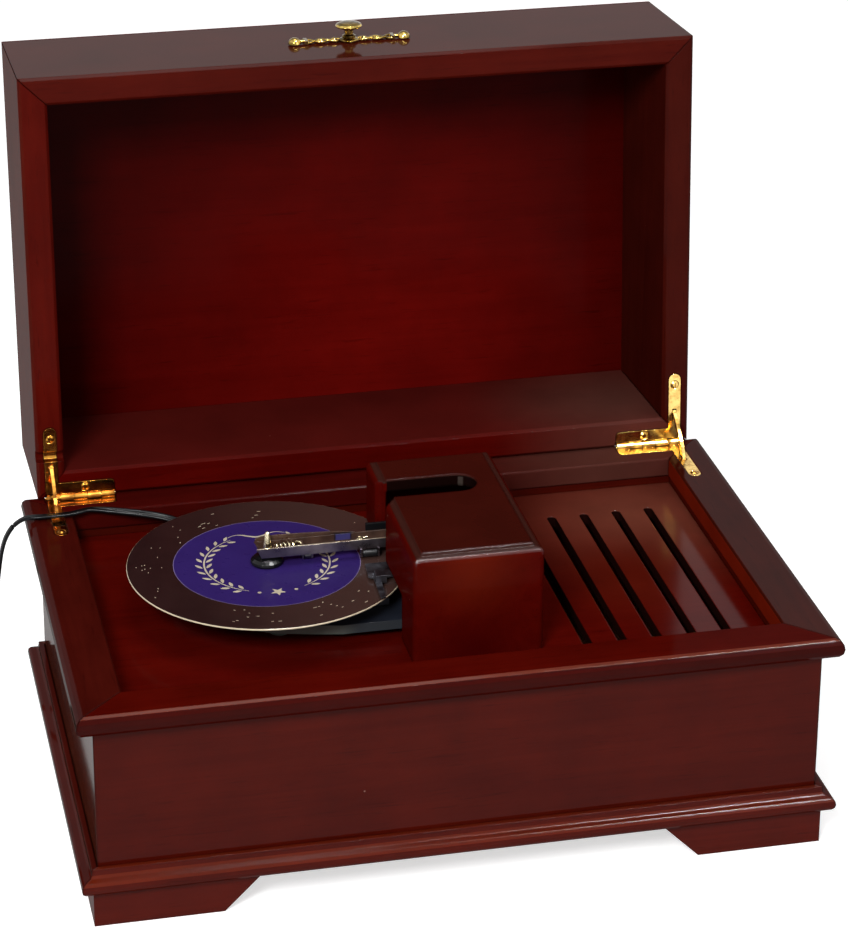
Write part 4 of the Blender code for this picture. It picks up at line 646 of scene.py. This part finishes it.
CAD_LOOKS = (
    (WOOD_X, "case_front_wall case_back_wall"),
    (WOOD_LEFT, "case_left_wall plinth_left"),
    (WOOD_Y, "case_right_wall plinth_right"),
    (WOOD_PLINTH, "plinth_front plinth_back"),
    (WOOD_FEET, "foot_front_left foot_front_right foot_rear_left foot_rear_right"),
    (WOOD_FRAME, "frame_front_rail"),
    (WOOD_FRAME_BACK, "frame_back_rail"),
    (WOOD_FRAME_LEFT, "frame_left_rail"),
    (WOOD_FRAME_RIGHT, "frame_right_rail"),
    (WOOD_DECK, "tray_deck"),
    (WOOD_COVER, "movement_cover"),
    (PLY, "case_bottom_panel"),
    (LID_TOP, "lid_front_wall"),
    (LID_LOW, "lid_back_wall"),
    (LID_LEFT, "lid_left_wall"),
    (LID_RIGHT, "lid_right_wall"),
    (LID_INSIDE, "lid_top_panel"),
    (BRASS, "motor_pinion"),
    (BRASS_LEFT, "star_wheel_stack"),
    (KNOB_BRASS, "lid_knob"),
    (PALE_BRASS, "arm_spring"),
    (STEEL, "drive_motor turntable_spindle arm_pivot_pin"),
    (COMB_STEEL, "comb"),
    (ARM_STEEL, "pressure_arm"),
    (GUIDE_STEEL, "disc_guide"),
    (DARK_STEEL, "roller_inner"),
    (RUBBER, "roller_outer"),
    (PLATE_BLACK, "bedplate"),
    (BLACK_PAINT, "arm_bracket"),
    (GLOSS_BLACK, "disc_cap"),
    (BLACK_PLASTIC, "cord_clamp wall_adapter"),
    (DISC_LACQUER, "tune_disc"),
)


def show(name, material):
    """Gives a CAD node its material."""
    mesh = NODES[name].data
    mesh.materials.clear()
    mesh.materials.append(material)


for look, node_names in CAD_LOOKS:
    for node_name in node_names.split():
        show(node_name, look)
# the left hinge takes the brass darkened as painted shade
for node_name in NODES:
    if node_name.startswith("hinge_"):
        show(node_name, BRASS_LEFT if "left" in node_name else BRASS)


# ---------------------------------------------------------------- shape helpers


def link_object(name, data):
    obj = bpy.data.objects.new(name, data)
    bpy.context.scene.collection.objects.link(obj)
    return obj


def add(name, mesh, material, body, matrix=None, replaces=()):
    """A piece of the scene that rides on a CAD body."""
    obj = link_object(name, mesh)
    if matrix is not None:
        obj.matrix_world = matrix
    mesh.materials.append(material)
    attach(obj, body)
    if replaces:
        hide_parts(*replaces)
    return obj


def mesh_from(bm, angle=40, name="shape"):
    """A smooth mesh, sharp where faces meet at more than the angle in degrees."""
    bmesh.ops.remove_doubles(bm, verts=bm.verts, dist=1e-7)
    bmesh.ops.recalc_face_normals(bm, faces=bm.faces)
    mesh = bpy.data.meshes.new(name)
    bm.to_mesh(mesh)
    bm.free()
    mesh.shade_smooth()
    mesh.set_sharp_from_angle(angle=radians(angle))
    return mesh


def circle(radius, steps, at=(0, 0)):
    """Points round a circle."""
    turns = [2 * pi * i / steps for i in range(steps)]
    return [(at[0] + radius * cos(a), at[1] + radius * sin(a)) for a in turns]


def join(bm, rings):
    """Faces between rings of the same number of points."""
    for one, two in zip(rings, rings[1:]):
        for k in range(len(one)):
            j = (k + 1) % len(one)
            bm.faces.new((one[k], one[j], two[j], two[k]))


def join_closed(bm, rings):
    """Faces between rings, and over the first and the last ring."""
    join(bm, rings)
    bm.faces.new(list(reversed(rings[0])))
    bm.faces.new(rings[-1])


def direction(points, i):
    """The way a line of points runs at one of them."""
    return (points[min(i + 1, len(points) - 1)] - points[max(i - 1, 0)]).normalized()


def tube(bm, points, radii, sides=8):
    """A round bar through points, with a radius at each."""
    rings = []
    for i, (point, radius) in enumerate(zip(points, radii)):
        way = direction(points, i)
        side = way.cross(Vector((0, 0, 1)))
        side = side.normalized() if side.length > 0.01 else Vector((1, 0, 0))
        other = way.cross(side)
        rings.append([bm.verts.new(point + side * a + other * b) for a, b in circle(radius, sides)])
    join_closed(bm, rings)


def turned(bm, profile, at=(0, 0, 0), steps=20):
    """A solid turned about Z from (radius, height) pairs, ending on the axis."""
    rings = []
    for radius, height in profile:
        z = at[2] + height
        points = [at[:2]] if radius < 1e-6 else circle(radius, steps, at)
        rings.append([bm.verts.new((x, y, z)) for x, y in points])
    for one, two in zip(rings, rings[1:]):
        for i in range(steps):
            j = (i + 1) % steps
            corners = one[i % len(one)], one[j % len(one)], two[j % len(two)], two[i % len(two)]
            corners = list(dict.fromkeys(corners))
            if len(corners) > 2:
                bm.faces.new(corners)


def block(bm, at, size):
    """A box about a middle."""
    made = bmesh.ops.create_cube(bm, size=1.0)
    for vert in made["verts"]:
        vert.co = Vector(at) + Vector([c * s for c, s in zip(vert.co, size)])


# ---------------------------------------------------------------- disc print

DISC_PLACE = Matrix.Translation(HUB + Vector((0, 0, DISC_TOP)))
PRINT_UP = 0.00003
ORNAMENT_UP = 0.00005
LABEL_HOLE_R = 0.0031
SPRIG_R = 0.0258
SPRIG_HALF_ARC = 64
LEAF_WIDTH = 0.0015
# Middle and reach in degrees, and the number of slots
SLOT_GROUPS = (
    (172, 12, 9), (146, 10, 4), (118, 12, 9), (92, 8, 3), (203, 7, 3),
    (253, 13, 10), (294, 12, 8), (312, 6, 3), (24, 14, 6),
)
# Corners of a slot along its half length and half width
SLOT_CORNERS = (
    (-1, -0.6), (-0.7, -1), (0.7, -1), (1, -0.6), (1, 0.6), (0.7, 1), (-0.7, 1), (-1, 0.6),
)
SLOT_HALF_WIDTH = 0.00015
SLOT_LEAST_HALF = 0.00030
FIRST_TRACK_R = 0.0408
TRACK_PITCH = 0.00115
TRACKS = 12


def add_print(name, bm, ink):
    add(name, mesh_from(bm), ink, "turntable", DISC_PLACE)


def add_ring_print(name, inner_r, outer_r, ink):
    bm = bmesh.new()
    join(bm, [[bm.verts.new((*p, PRINT_UP)) for p in circle(r, 96)] for r in (outer_r, inner_r)])
    add_print(name, bm, ink)


def flat_shape(bm, outline, z):
    bm.faces.new([bm.verts.new((x, y, z)) for x, y in outline])


def leaf(bm, at, angle, length, width):
    """A pointed leaf from its foot along an angle."""
    shares = [i / 8 for i in range(9)]
    upper = [(length * share, width * 0.5 * sin(pi * share) ** 0.8) for share in shares]
    outline = upper + [(a, -b) for a, b in upper[-2:0:-1]]
    c, s = cos(angle), sin(angle)
    outline = [(at[0] + a * c - b * s, at[1] + a * s + b * c) for a, b in outline]
    flat_shape(bm, outline, ORNAMENT_UP)


def stroke(bm, points, widths):
    """A flat line of changing width."""
    points = [Vector(p) for p in points]
    pairs = []
    for i, (point, width) in enumerate(zip(points, widths)):
        way = direction(points, i)
        side = Vector((-way.y, way.x)) * width / 2
        pairs.append([bm.verts.new((*(point + side * k), ORNAMENT_UP)) for k in (1, -1)])
    for one, two in zip(pairs, pairs[1:]):
        bm.faces.new((one[1], two[1], two[0], one[0]))


def add_sprig(bm, middle, way):
    """A laurel sprig round the label, bent about the disc's middle."""
    angles = [middle + way * radians(SPRIG_HALF_ARC * (i / 12 - 1)) for i in range(25)]
    stem = [(SPRIG_R * cos(a), SPRIG_R * sin(a)) for a in angles]
    stroke(bm, stem, [0.00025 + 0.0005 * sin(pi * i / 24) for i in range(25)])
    for i in range(11):
        a = middle + way * radians(-58 + 11.6 * i)
        length = 0.0046 - 0.00012 * abs(i - 5)
        for lean, out in ((0.62, 0.0008), (-0.62, -0.0008)):
            r = SPRIG_R + out
            foot = (r * cos(a), r * sin(a))
            leaf(bm, foot, a + way * (pi / 2 - lean), length, LEAF_WIDTH)


def add_ornament():
    """Two laurel sprigs, a star between dots and a curl, in place of the lettering."""
    bm = bmesh.new()
    add_sprig(bm, 0, 1)
    add_sprig(bm, pi, -1)
    star = []
    for i in range(10):
        r = 0.0014 if i % 2 else 0.0034
        a = -pi / 2 + pi * i / 5
        star.append((r * cos(a), -0.0262 + r * sin(a)))
    flat_shape(bm, star, ORNAMENT_UP)
    for x in (-0.0075, 0.0075):
        flat_shape(bm, circle(0.0008, 12, (x, -0.0255)), ORNAMENT_UP)
    shares = [i / 40 for i in range(41)]
    curl = [(-0.0120 + 0.0240 * s, 0.0255 + 0.0016 * sin(3 * pi * s)) for s in shares]
    stroke(bm, curl, [0.0003 + 0.0009 * sin(pi * s) ** 2 for s in shares])
    add_print("disc_ornament", bm, CREAM_INK)


def add_slots():
    """Punched slots of the tune, at random in loose groups."""
    random.seed(11)
    bm = bmesh.new()
    for middle, reach, count in SLOT_GROUPS:
        for _ in range(count):
            a = radians(middle + random.uniform(-reach, reach))
            r = FIRST_TRACK_R + TRACK_PITCH * random.randrange(TRACKS)
            # short ones on the left, where the camera sees them from the side
            longest = 0.00042 if cos(a) < -0.6 else 0.00095
            half_length = random.uniform(SLOT_LEAST_HALF, longest)
            c, s = cos(a), sin(a)
            outline = []
            for u, v in SLOT_CORNERS:
                du, dv = u * half_length, v * SLOT_HALF_WIDTH
                outline.append((r * c - du * s + dv * c, r * s + du * c + dv * s))
            flat_shape(bm, outline, PRINT_UP)
    add_print("disc_slots", bm, BARE_SLOT)


add_ring_print("disc_label", LABEL_HOLE_R, LABEL_R - LABEL_RIM_WIDTH, LABEL_INK)
add_ring_print("disc_label_rim", LABEL_R - LABEL_RIM_WIDTH, LABEL_R, LABEL_RIM)
add_ornament()
add_slots()


# ---------------------------------------------------------------- knob plate

BOSS = (
    (0, 0), (0.0042, 0), (0.0044, 0.0006), (0.0038, 0.0012),
    (0.0030, 0.0014), (0.0027, 0.0019), (0, 0.0019),
)
BALL_R = 0.0028


def add_twisted_bar(bm, side, way):
    """One of the two strands that cross each other, out to one side."""
    points, radii = [], []
    for i in range(29):
        share = i / 28
        turn = 2.5 * pi * share
        x = 0.0034 + 0.0151 * share
        y = way * 0.0023 * sin(turn) * (0.6 + 0.5 * share)
        z = 0.0006 + way * 0.0002 * cos(turn)
        points.append(Vector((side * x, y, z)))
        radii.append(0.00055 + 0.0002 * abs(sin(turn)))
    tube(bm, points, radii)


def add_backplate():
    """Round boss with a twisted bar, a block and a ball to either side."""
    bm = bmesh.new()
    turned(bm, BOSS)
    for side in (-1, 1):
        for way in (-1, 1):
            add_twisted_bar(bm, side, way)
        for x, r in ((0.0064, 0.0013), (0.0094, 0.0009), (0.0124, 0.0011)):
            turns = [pi * i / 8 for i in range(9)]
            bead = [(r * sin(a), max(0.0, 0.0006 - r * cos(a))) for a in turns]
            turned(bm, bead, (side * x, 0, 0), 12)
        block(bm, (side * 0.0190, 0, 0.0008), (0.0016, 0.0058, 0.0016))
        neck = [Vector((side * x, 0, 0.0009)) for x in (0.0194, 0.0206, 0.0218)]
        tube(bm, neck, [0.0009, 0.0008, 0.0009])
        turns = [pi * i / 12 for i in range(13)]
        ball = [(BALL_R * sin(a), 0.0002 - BALL_R * cos(a)) for a in turns]
        turned(bm, [(0, 0)] + [p for p in ball if p[1] > 0], (side * 0.0239, -0.0008, 0))
    # laid out flat, then stood on the shut lid's front and turned up with the lid
    matrix = (
        Matrix.Translation(HINGE_AXIS)
        @ Matrix.Rotation(-LID_OPEN, 4, "X")
        @ Matrix.Translation((0, -LID_DEPTH - 0.0003, KNOB_HEIGHT))
        @ Matrix.Rotation(pi / 2, 4, "X")
    )
    mesh = mesh_from(bm, 50)
    add("lid_backplate", mesh, KNOB_BRASS, "lid", matrix, ("knob_backplate",))


add_backplate()


# ---------------------------------------------------------------- arm and guide

STUD = (
    (0, 0), (0.0019, 0), (0.0019, 0.0006), (0.0017, 0.0030),
    (0.0012, 0.0064), (0.0009, 0.0078), (0.0005, 0.0084), (0, 0.0085),
)
# X along the arm, and how far its back wall rises there
BACK_WALL = (
    (-0.0654, 0.0012), (-0.0630, 0.0020), (-0.0560, 0.0023),
    (-0.0420, 0.0018), (-0.0310, 0.0013), (-0.0235, 0.0002),
)
WIRE_R = 0.0003


def on_arm(x, y, z):
    """A point from its X, the distance behind the hub and the height over the arm's floor."""
    return Vector((x, HUB.y + y, ARM_FLOOR + z))


def add_steel(name, bm, material, body="arm", replaces=()):
    add(name, mesh_from(bm, 50), material, body, replaces=replaces)


def add_arm_details():
    """Eyelet, rivet, stud, raised back wall and the spring's end."""
    bm = bmesh.new()
    eye = circle(0.0011, 20, (-0.0224, -0.0006))
    tube(bm, [on_arm(*p, 0.0027) for p in [*eye, eye[0]]], [WIRE_R] * 21)
    stem = [on_arm(-0.0224, -0.0006, z) for z in (0.0, 0.0014, 0.0026)]
    tube(bm, stem, [0.0006, 0.0005, 0.0005])
    tail = [on_arm(-0.0213, -0.0006, 0.0027), on_arm(-0.0192, -0.0002, 0.0028)]
    tube(bm, tail, [WIRE_R] * 2)
    add_steel("arm_eyelet", bm, PALE_BRASS)

    bm = bmesh.new()
    head = [(0.0010, 0), (0.0010, 0.0003), (0.0006, 0.0006), (0, 0.0007)]
    turned(bm, head, on_arm(-0.0640, 0.0012, 0), 14)
    add_steel("arm_rivet", bm, DARK_STEEL)

    bm = bmesh.new()
    turned(bm, STUD, on_arm(HUB.x + 0.0005, 0.0010, 0.0003))
    add_steel("arm_stud", bm, PALE_BRASS, replaces=("arm_finger_stud",))

    bm = bmesh.new()
    rows = []
    for x, rise in BACK_WALL:
        corners = ((0.0034, 0), (0.0040, 0), (0.0040, rise + 0.0004), (0.0034, rise + 0.0004))
        rows.append([bm.verts.new((x, HUB.y + y, ARM_EDGE - 0.0004 + z)) for y, z in corners])
    join_closed(bm, rows)
    add_steel("arm_back_wall", bm, ARM_STEEL)

    bm = bmesh.new()
    tail = [
        on_arm(-0.0492, 0.0015, 0.0021),
        on_arm(-0.0484, 0.0012, 0.0032),
        on_arm(-0.0472, 0.0003, 0.0031),
        on_arm(-0.0464, -0.0006, 0.0022),
    ]
    tube(bm, tail, [WIRE_R] * 4)
    add_steel("arm_spring_ends", bm, PALE_BRASS)


def add_guide_holes():
    """Dark discs that show as holes in the disc guide: painted shade where the holes are."""
    bm = bmesh.new()
    for x, y in ((-0.0160, 0.0068), (-0.0125, 0.0036)):
        profile = [(0.0008, 0), (0.0008, 0.00004), (0, 0.00004)]
        turned(bm, profile, (x, GUIDE_Y + y, GUIDE_TOP), 14)
    add_steel("guide_holes", bm, RUBBER, "case")


add_arm_details()
add_guide_holes()


# ---------------------------------------------------------------- lead

# From the clamp over the left rail and down to the coil, in the CAD layout's place
ROUTE = (
    (-0.0790, 0.0585, 0.0886), (-0.0806, 0.0601, 0.0886), (-0.0840, 0.0634, 0.0891),
    (-0.0873, 0.0663, 0.0901), (-0.0910, 0.0690, 0.0912), (-0.0960, 0.0713, 0.0921),
    (-0.1010, 0.0728, 0.0928), (-0.1055, 0.0738, 0.0934), (-0.1100, 0.0747, 0.0940),
    (-0.1142, 0.0755, 0.0945), (-0.1185, 0.0762, 0.0950), (-0.1222, 0.0767, 0.0954),
    (-0.1260, 0.0766, 0.0957), (-0.1300, 0.0751, 0.0958), (-0.1340, 0.0740, 0.0958),
    (-0.1385, 0.0736, 0.0958), (-0.1425, 0.0736, 0.0958), (-0.1465, 0.0740, 0.0957),
    (-0.1500, 0.0748, 0.0955), (-0.1530, 0.0756, 0.0948), (-0.1558, 0.0764, 0.0931),
    (-0.1582, 0.0770, 0.0908), (-0.1602, 0.0775, 0.0878), (-0.1619, 0.0778, 0.0840),
    (-0.1633, 0.0780, 0.0790), (-0.1645, 0.0781, 0.0720), (-0.1656, 0.0781, 0.0640),
    (-0.1666, 0.0781, 0.0550), (-0.1675, 0.0780, 0.0450), (-0.1685, 0.0779, 0.0350),
    (-0.1699, 0.0778, 0.0260), (-0.1722, 0.0778, 0.0175), (-0.1758, 0.0780, 0.0102),
    (-0.1805, 0.0785, 0.0053), (-0.1860, 0.0793, 0.0028), (-0.1915, 0.0800, 0.0019),
)
ROUTE_STEPS = 4
# The flat lead leans over the tray and lies level on the rail, and its width runs along Y
# down the rail's outside and where it is too steep to have a level side
TRAY_END_X = -0.1260
LEAN_RUN = 0.020
LEAN = -1.3
RAIL_END_X = -0.158
LEAST_LEVEL = 0.35
COIL_CENTRE = (-0.2040, 0.0560)
COIL_TURNS = 14.25
COIL_LAYERS = 4
COIL_PITCH = 0.0037
COIL_MID_R = 0.0176
COIL_LOW_Z = 0.0017
COIL_STEPS = 30


def coil_points():
    """The coil's centre line, as in the part's source."""
    per_layer = COIL_TURNS / COIL_LAYERS
    spread_r = per_layer * COIL_PITCH
    outer = COIL_MID_R + spread_r / 2
    count = round(COIL_TURNS * COIL_STEPS)
    points = []
    for i in range(count + 1):
        turn = COIL_TURNS * i / count
        phase = turn / per_layer
        layer = min(int(phase), COIL_LAYERS - 1)
        share = phase - layer
        inward = share if layer % 2 == 0 else 1 - share
        radius = outer - spread_r * inward
        height = 0.0
        for k in range(1, COIL_LAYERS):
            eased = min(max((turn - k * per_layer + 0.25) / 0.5, 0), 1)
            height += COIL_PITCH * eased * eased * (3 - 2 * eased)
        angle = pi / 2 + 2 * pi * turn
        x = COIL_CENTRE[0] + radius * cos(angle)
        y = COIL_CENTRE[1] + radius * sin(angle)
        points.append(Vector((x, y, COIL_LOW_Z + height)))
    return points


def smooth_line(route):
    """Points on a smooth curve through the route's own points."""
    points = [2 * route[0] - route[1], *route, 2 * route[-1] - route[-2]]
    line = []
    for a, b, c, d in zip(points, points[1:], points[2:], points[3:]):
        for i in range(ROUTE_STEPS):
            t = i / ROUTE_STEPS
            bend = 2 * b + (c - a) * t + (2 * a - 5 * b + 4 * c - d) * t * t
            line.append(0.5 * (bend + (3 * b - a - 3 * c + d) * t**3))
    line.append(points[-2])
    return line


def sweep(name, points, profile, wide_at):
    """A tube of a flat section: wide_at gives the section's width direction at each point."""
    bm = bmesh.new()
    rings = []
    for i, point in enumerate(points):
        way = direction(points, i)
        wide = wide_at(i, point, way)
        wide = (wide - way * wide.dot(way)).normalized()
        thin = way.cross(wide)
        rings.append([bm.verts.new(point + wide * a + thin * b) for a, b in profile])
    join_closed(bm, rings)
    return mesh_from(bm, 60, name)


def twin_section(width, steps=7):
    """Outline of two cores side by side."""
    r = width / 4
    turns = [radians(-128 + 256 * i / (steps - 1)) for i in range(steps)]
    right_side = [(r + r * cos(a), r * sin(a)) for a in turns]
    left_side = [(-a, -b) for a, b in right_side]
    return [*right_side, (0, r * 0.62), *left_side, (0, -r * 0.62)]


def add_lead():
    """The lead from the clamp to the adapter, with its coil."""
    ring = coil_points()
    run_in = (ring[0] - ring[1]).normalized()
    run_out = (ring[-1] - ring[-2]).normalized()
    free = [Vector(p) for p in ROUTE] + [ring[0] + run_in * (0.0003 + 4 * CORD_R)]
    line = smooth_line(free) + [ring[0] + run_in * 2 * CORD_R]
    line += [*ring, ring[-1] + run_out * 2 * CORD_R]
    line = [Vector((p.x, p.y - SHIFT, p.z)) for p in line]
    free_count = len(line) - len(ring) - 2

    def wide_at(i, p, way):
        level = Vector((0, 0, 1)).cross(way)
        if level.length < LEAST_LEVEL or (p.x < RAIL_END_X and i < free_count):
            return Vector((0.0, 1.0, 0.0))
        lean = 0.0
        if p.x > TRAY_END_X and i < free_count:
            lean = min(1.0, (p.x - TRAY_END_X) / LEAN_RUN)
        return level.normalized() + Vector((0, 0, LEAN)) * lean

    mesh = sweep("lead", line, twin_section(2 * CORD_R), wide_at)
    lead = add("lead", mesh, SHEATH, "case", replaces=("power_lead", "lead_coil"))
    tie = add_tie()


def add_tie():
    """Flat strap round the coil, on its left side."""
    middle = Vector((COIL_CENTRE[0] - COIL_MID_R, COIL_CENTRE[1] - SHIFT - 0.004, 0.0074))
    half_w, half_h, r, thick = 0.0091, 0.0073, 0.0030, 0.0006
    outline = []
    for cx, cz, start in ((1, 1, 0), (-1, 1, 90), (-1, -1, 180), (1, -1, 270)):
        for i in range(5):
            a = radians(start + 22.5 * i)
            outline.append((cx * (half_w - r) + r * cos(a), cz * (half_h - r) + r * sin(a)))
    section = (
        (-0.0019, 0.0), (-0.0022, thick / 2), (-0.0019, thick),
        (0.0019, thick), (0.0022, thick / 2), (0.0019, 0.0),
    )
    bm = bmesh.new()
    rings = []
    for y, grow in section:
        ring = []
        for a, b in outline:
            out = Vector((a, b)).normalized() * (grow - thick)
            ring.append(bm.verts.new(middle + Vector((a + out.x, y, b + out.y))))
        rings.append(ring)
    join(bm, [*rings, rings[0]])
    return add("lead_tie", mesh_from(bm), RUBBER, "case")


add_lead()


# ---------------------------------------------------------------- camera, light and floor

# Solved from the photograph's straight edges and the disc's ellipse
CAMERA_AT = (-0.258159, -1.195673, 0.700538)
CAMERA_RIGHT = Vector((0.97654816, -0.21526819, 0.0036476))
CAMERA_UP = Vector((0.07649869, 0.36276751, 0.92873445))
CAMERA_FORWARD = Vector((0.20125022, 0.90667488, -0.37072768))
ROOM_STRENGTH = 0.27
FLOOR_GLOW = 0.62


def add_camera():
    data = bpy.data.cameras.new("photo_camera")
    data.sensor_fit = "AUTO"
    data.sensor_width = 36
    data.lens = 124.184
    data.shift_x = 0.01229
    data.shift_y = -0.21555
    data.clip_start = 0.01
    data.clip_end = 20
    camera = link_object("photo_camera", data)
    turn = Matrix((CAMERA_RIGHT, CAMERA_UP, -CAMERA_FORWARD)).transposed().to_4x4()
    camera.matrix_world = Matrix.Translation(CAMERA_AT) @ turn
    bpy.context.scene.camera = camera


def add_lamp(name, at, aim, size, power, size_y=None):
    data = bpy.data.lights.new(name, "AREA")
    data.shape = "RECTANGLE"
    data.size = size
    data.size_y = size_y or size
    data.energy = power
    lamp = link_object(name, data)
    lamp.location = at
    lamp.rotation_euler = (Vector(aim) - Vector(at)).to_track_quat("-Z", "Y").to_euler()
    return lamp


def shown_white(tree):
    """1 for camera, glossy and transmission rays."""
    rays = shader(tree, "LightPath").outputs
    seen = math_node(tree, "MAXIMUM", rays["Is Camera Ray"], rays["Is Glossy Ray"])
    return math_node(tree, "MAXIMUM", seen, rays["Is Transmission Ray"])


def add_stage():
    """A pale floor and a room that shows as white but lights less."""
    bm = bmesh.new()
    bmesh.ops.create_circle(bm, cap_ends=True, segments=64, radius=4.0)
    floor = link_object("floor", mesh_from(bm))
    material, tree, principled = new_material("studio_floor")
    inputs = {
        "Base Color": (0.80, 0.80, 0.80, 1),
        "Roughness": 0.9,
        "Specular IOR Level": 0.1,
        "Emission Color": (1, 1, 1, 1),
        "Emission Strength": times(tree, shown_white(tree), FLOOR_GLOW),
    }
    fill(tree, principled, inputs)
    floor.data.materials.append(material)

    world = bpy.data.worlds.new("studio")
    bpy.context.scene.world = world
    world.use_nodes = True
    tree = world.node_tree
    inputs = {"Value": shown_white(tree), "To Min": ROOM_STRENGTH, "To Max": 1.0}
    strength = shader(tree, "MapRange", inputs).outputs["Result"]
    fill(tree, tree.nodes["Background"], {"Color": (1, 1, 1, 1), "Strength": strength})


add_camera()
add_stage()
add_lamp("key_lamp", (-0.70, -1.30, 1.20), (0.0, 0.05, 0.12), 0.45, 25.0)
add_lamp("fill_lamp", (1.0, -1.1, 0.9), (0.0, 0.0, 0.1), 0.9, 3.5)
add_lamp("top_lamp", (0.1, 0.1, 1.5), (0.0, 0.05, 0.1), 0.7, 6.0)
# a strip that only the lacquer reflects
edge_lamp = add_lamp("edge_lamp", (0.26, -0.52, 1.25), (0.0, 0.0, 0.1), 0.9, 26.0, size_y=0.06)
edge_lamp.visible_diffuse = False
bpy.context.scene.view_settings.view_transform = "Standard"
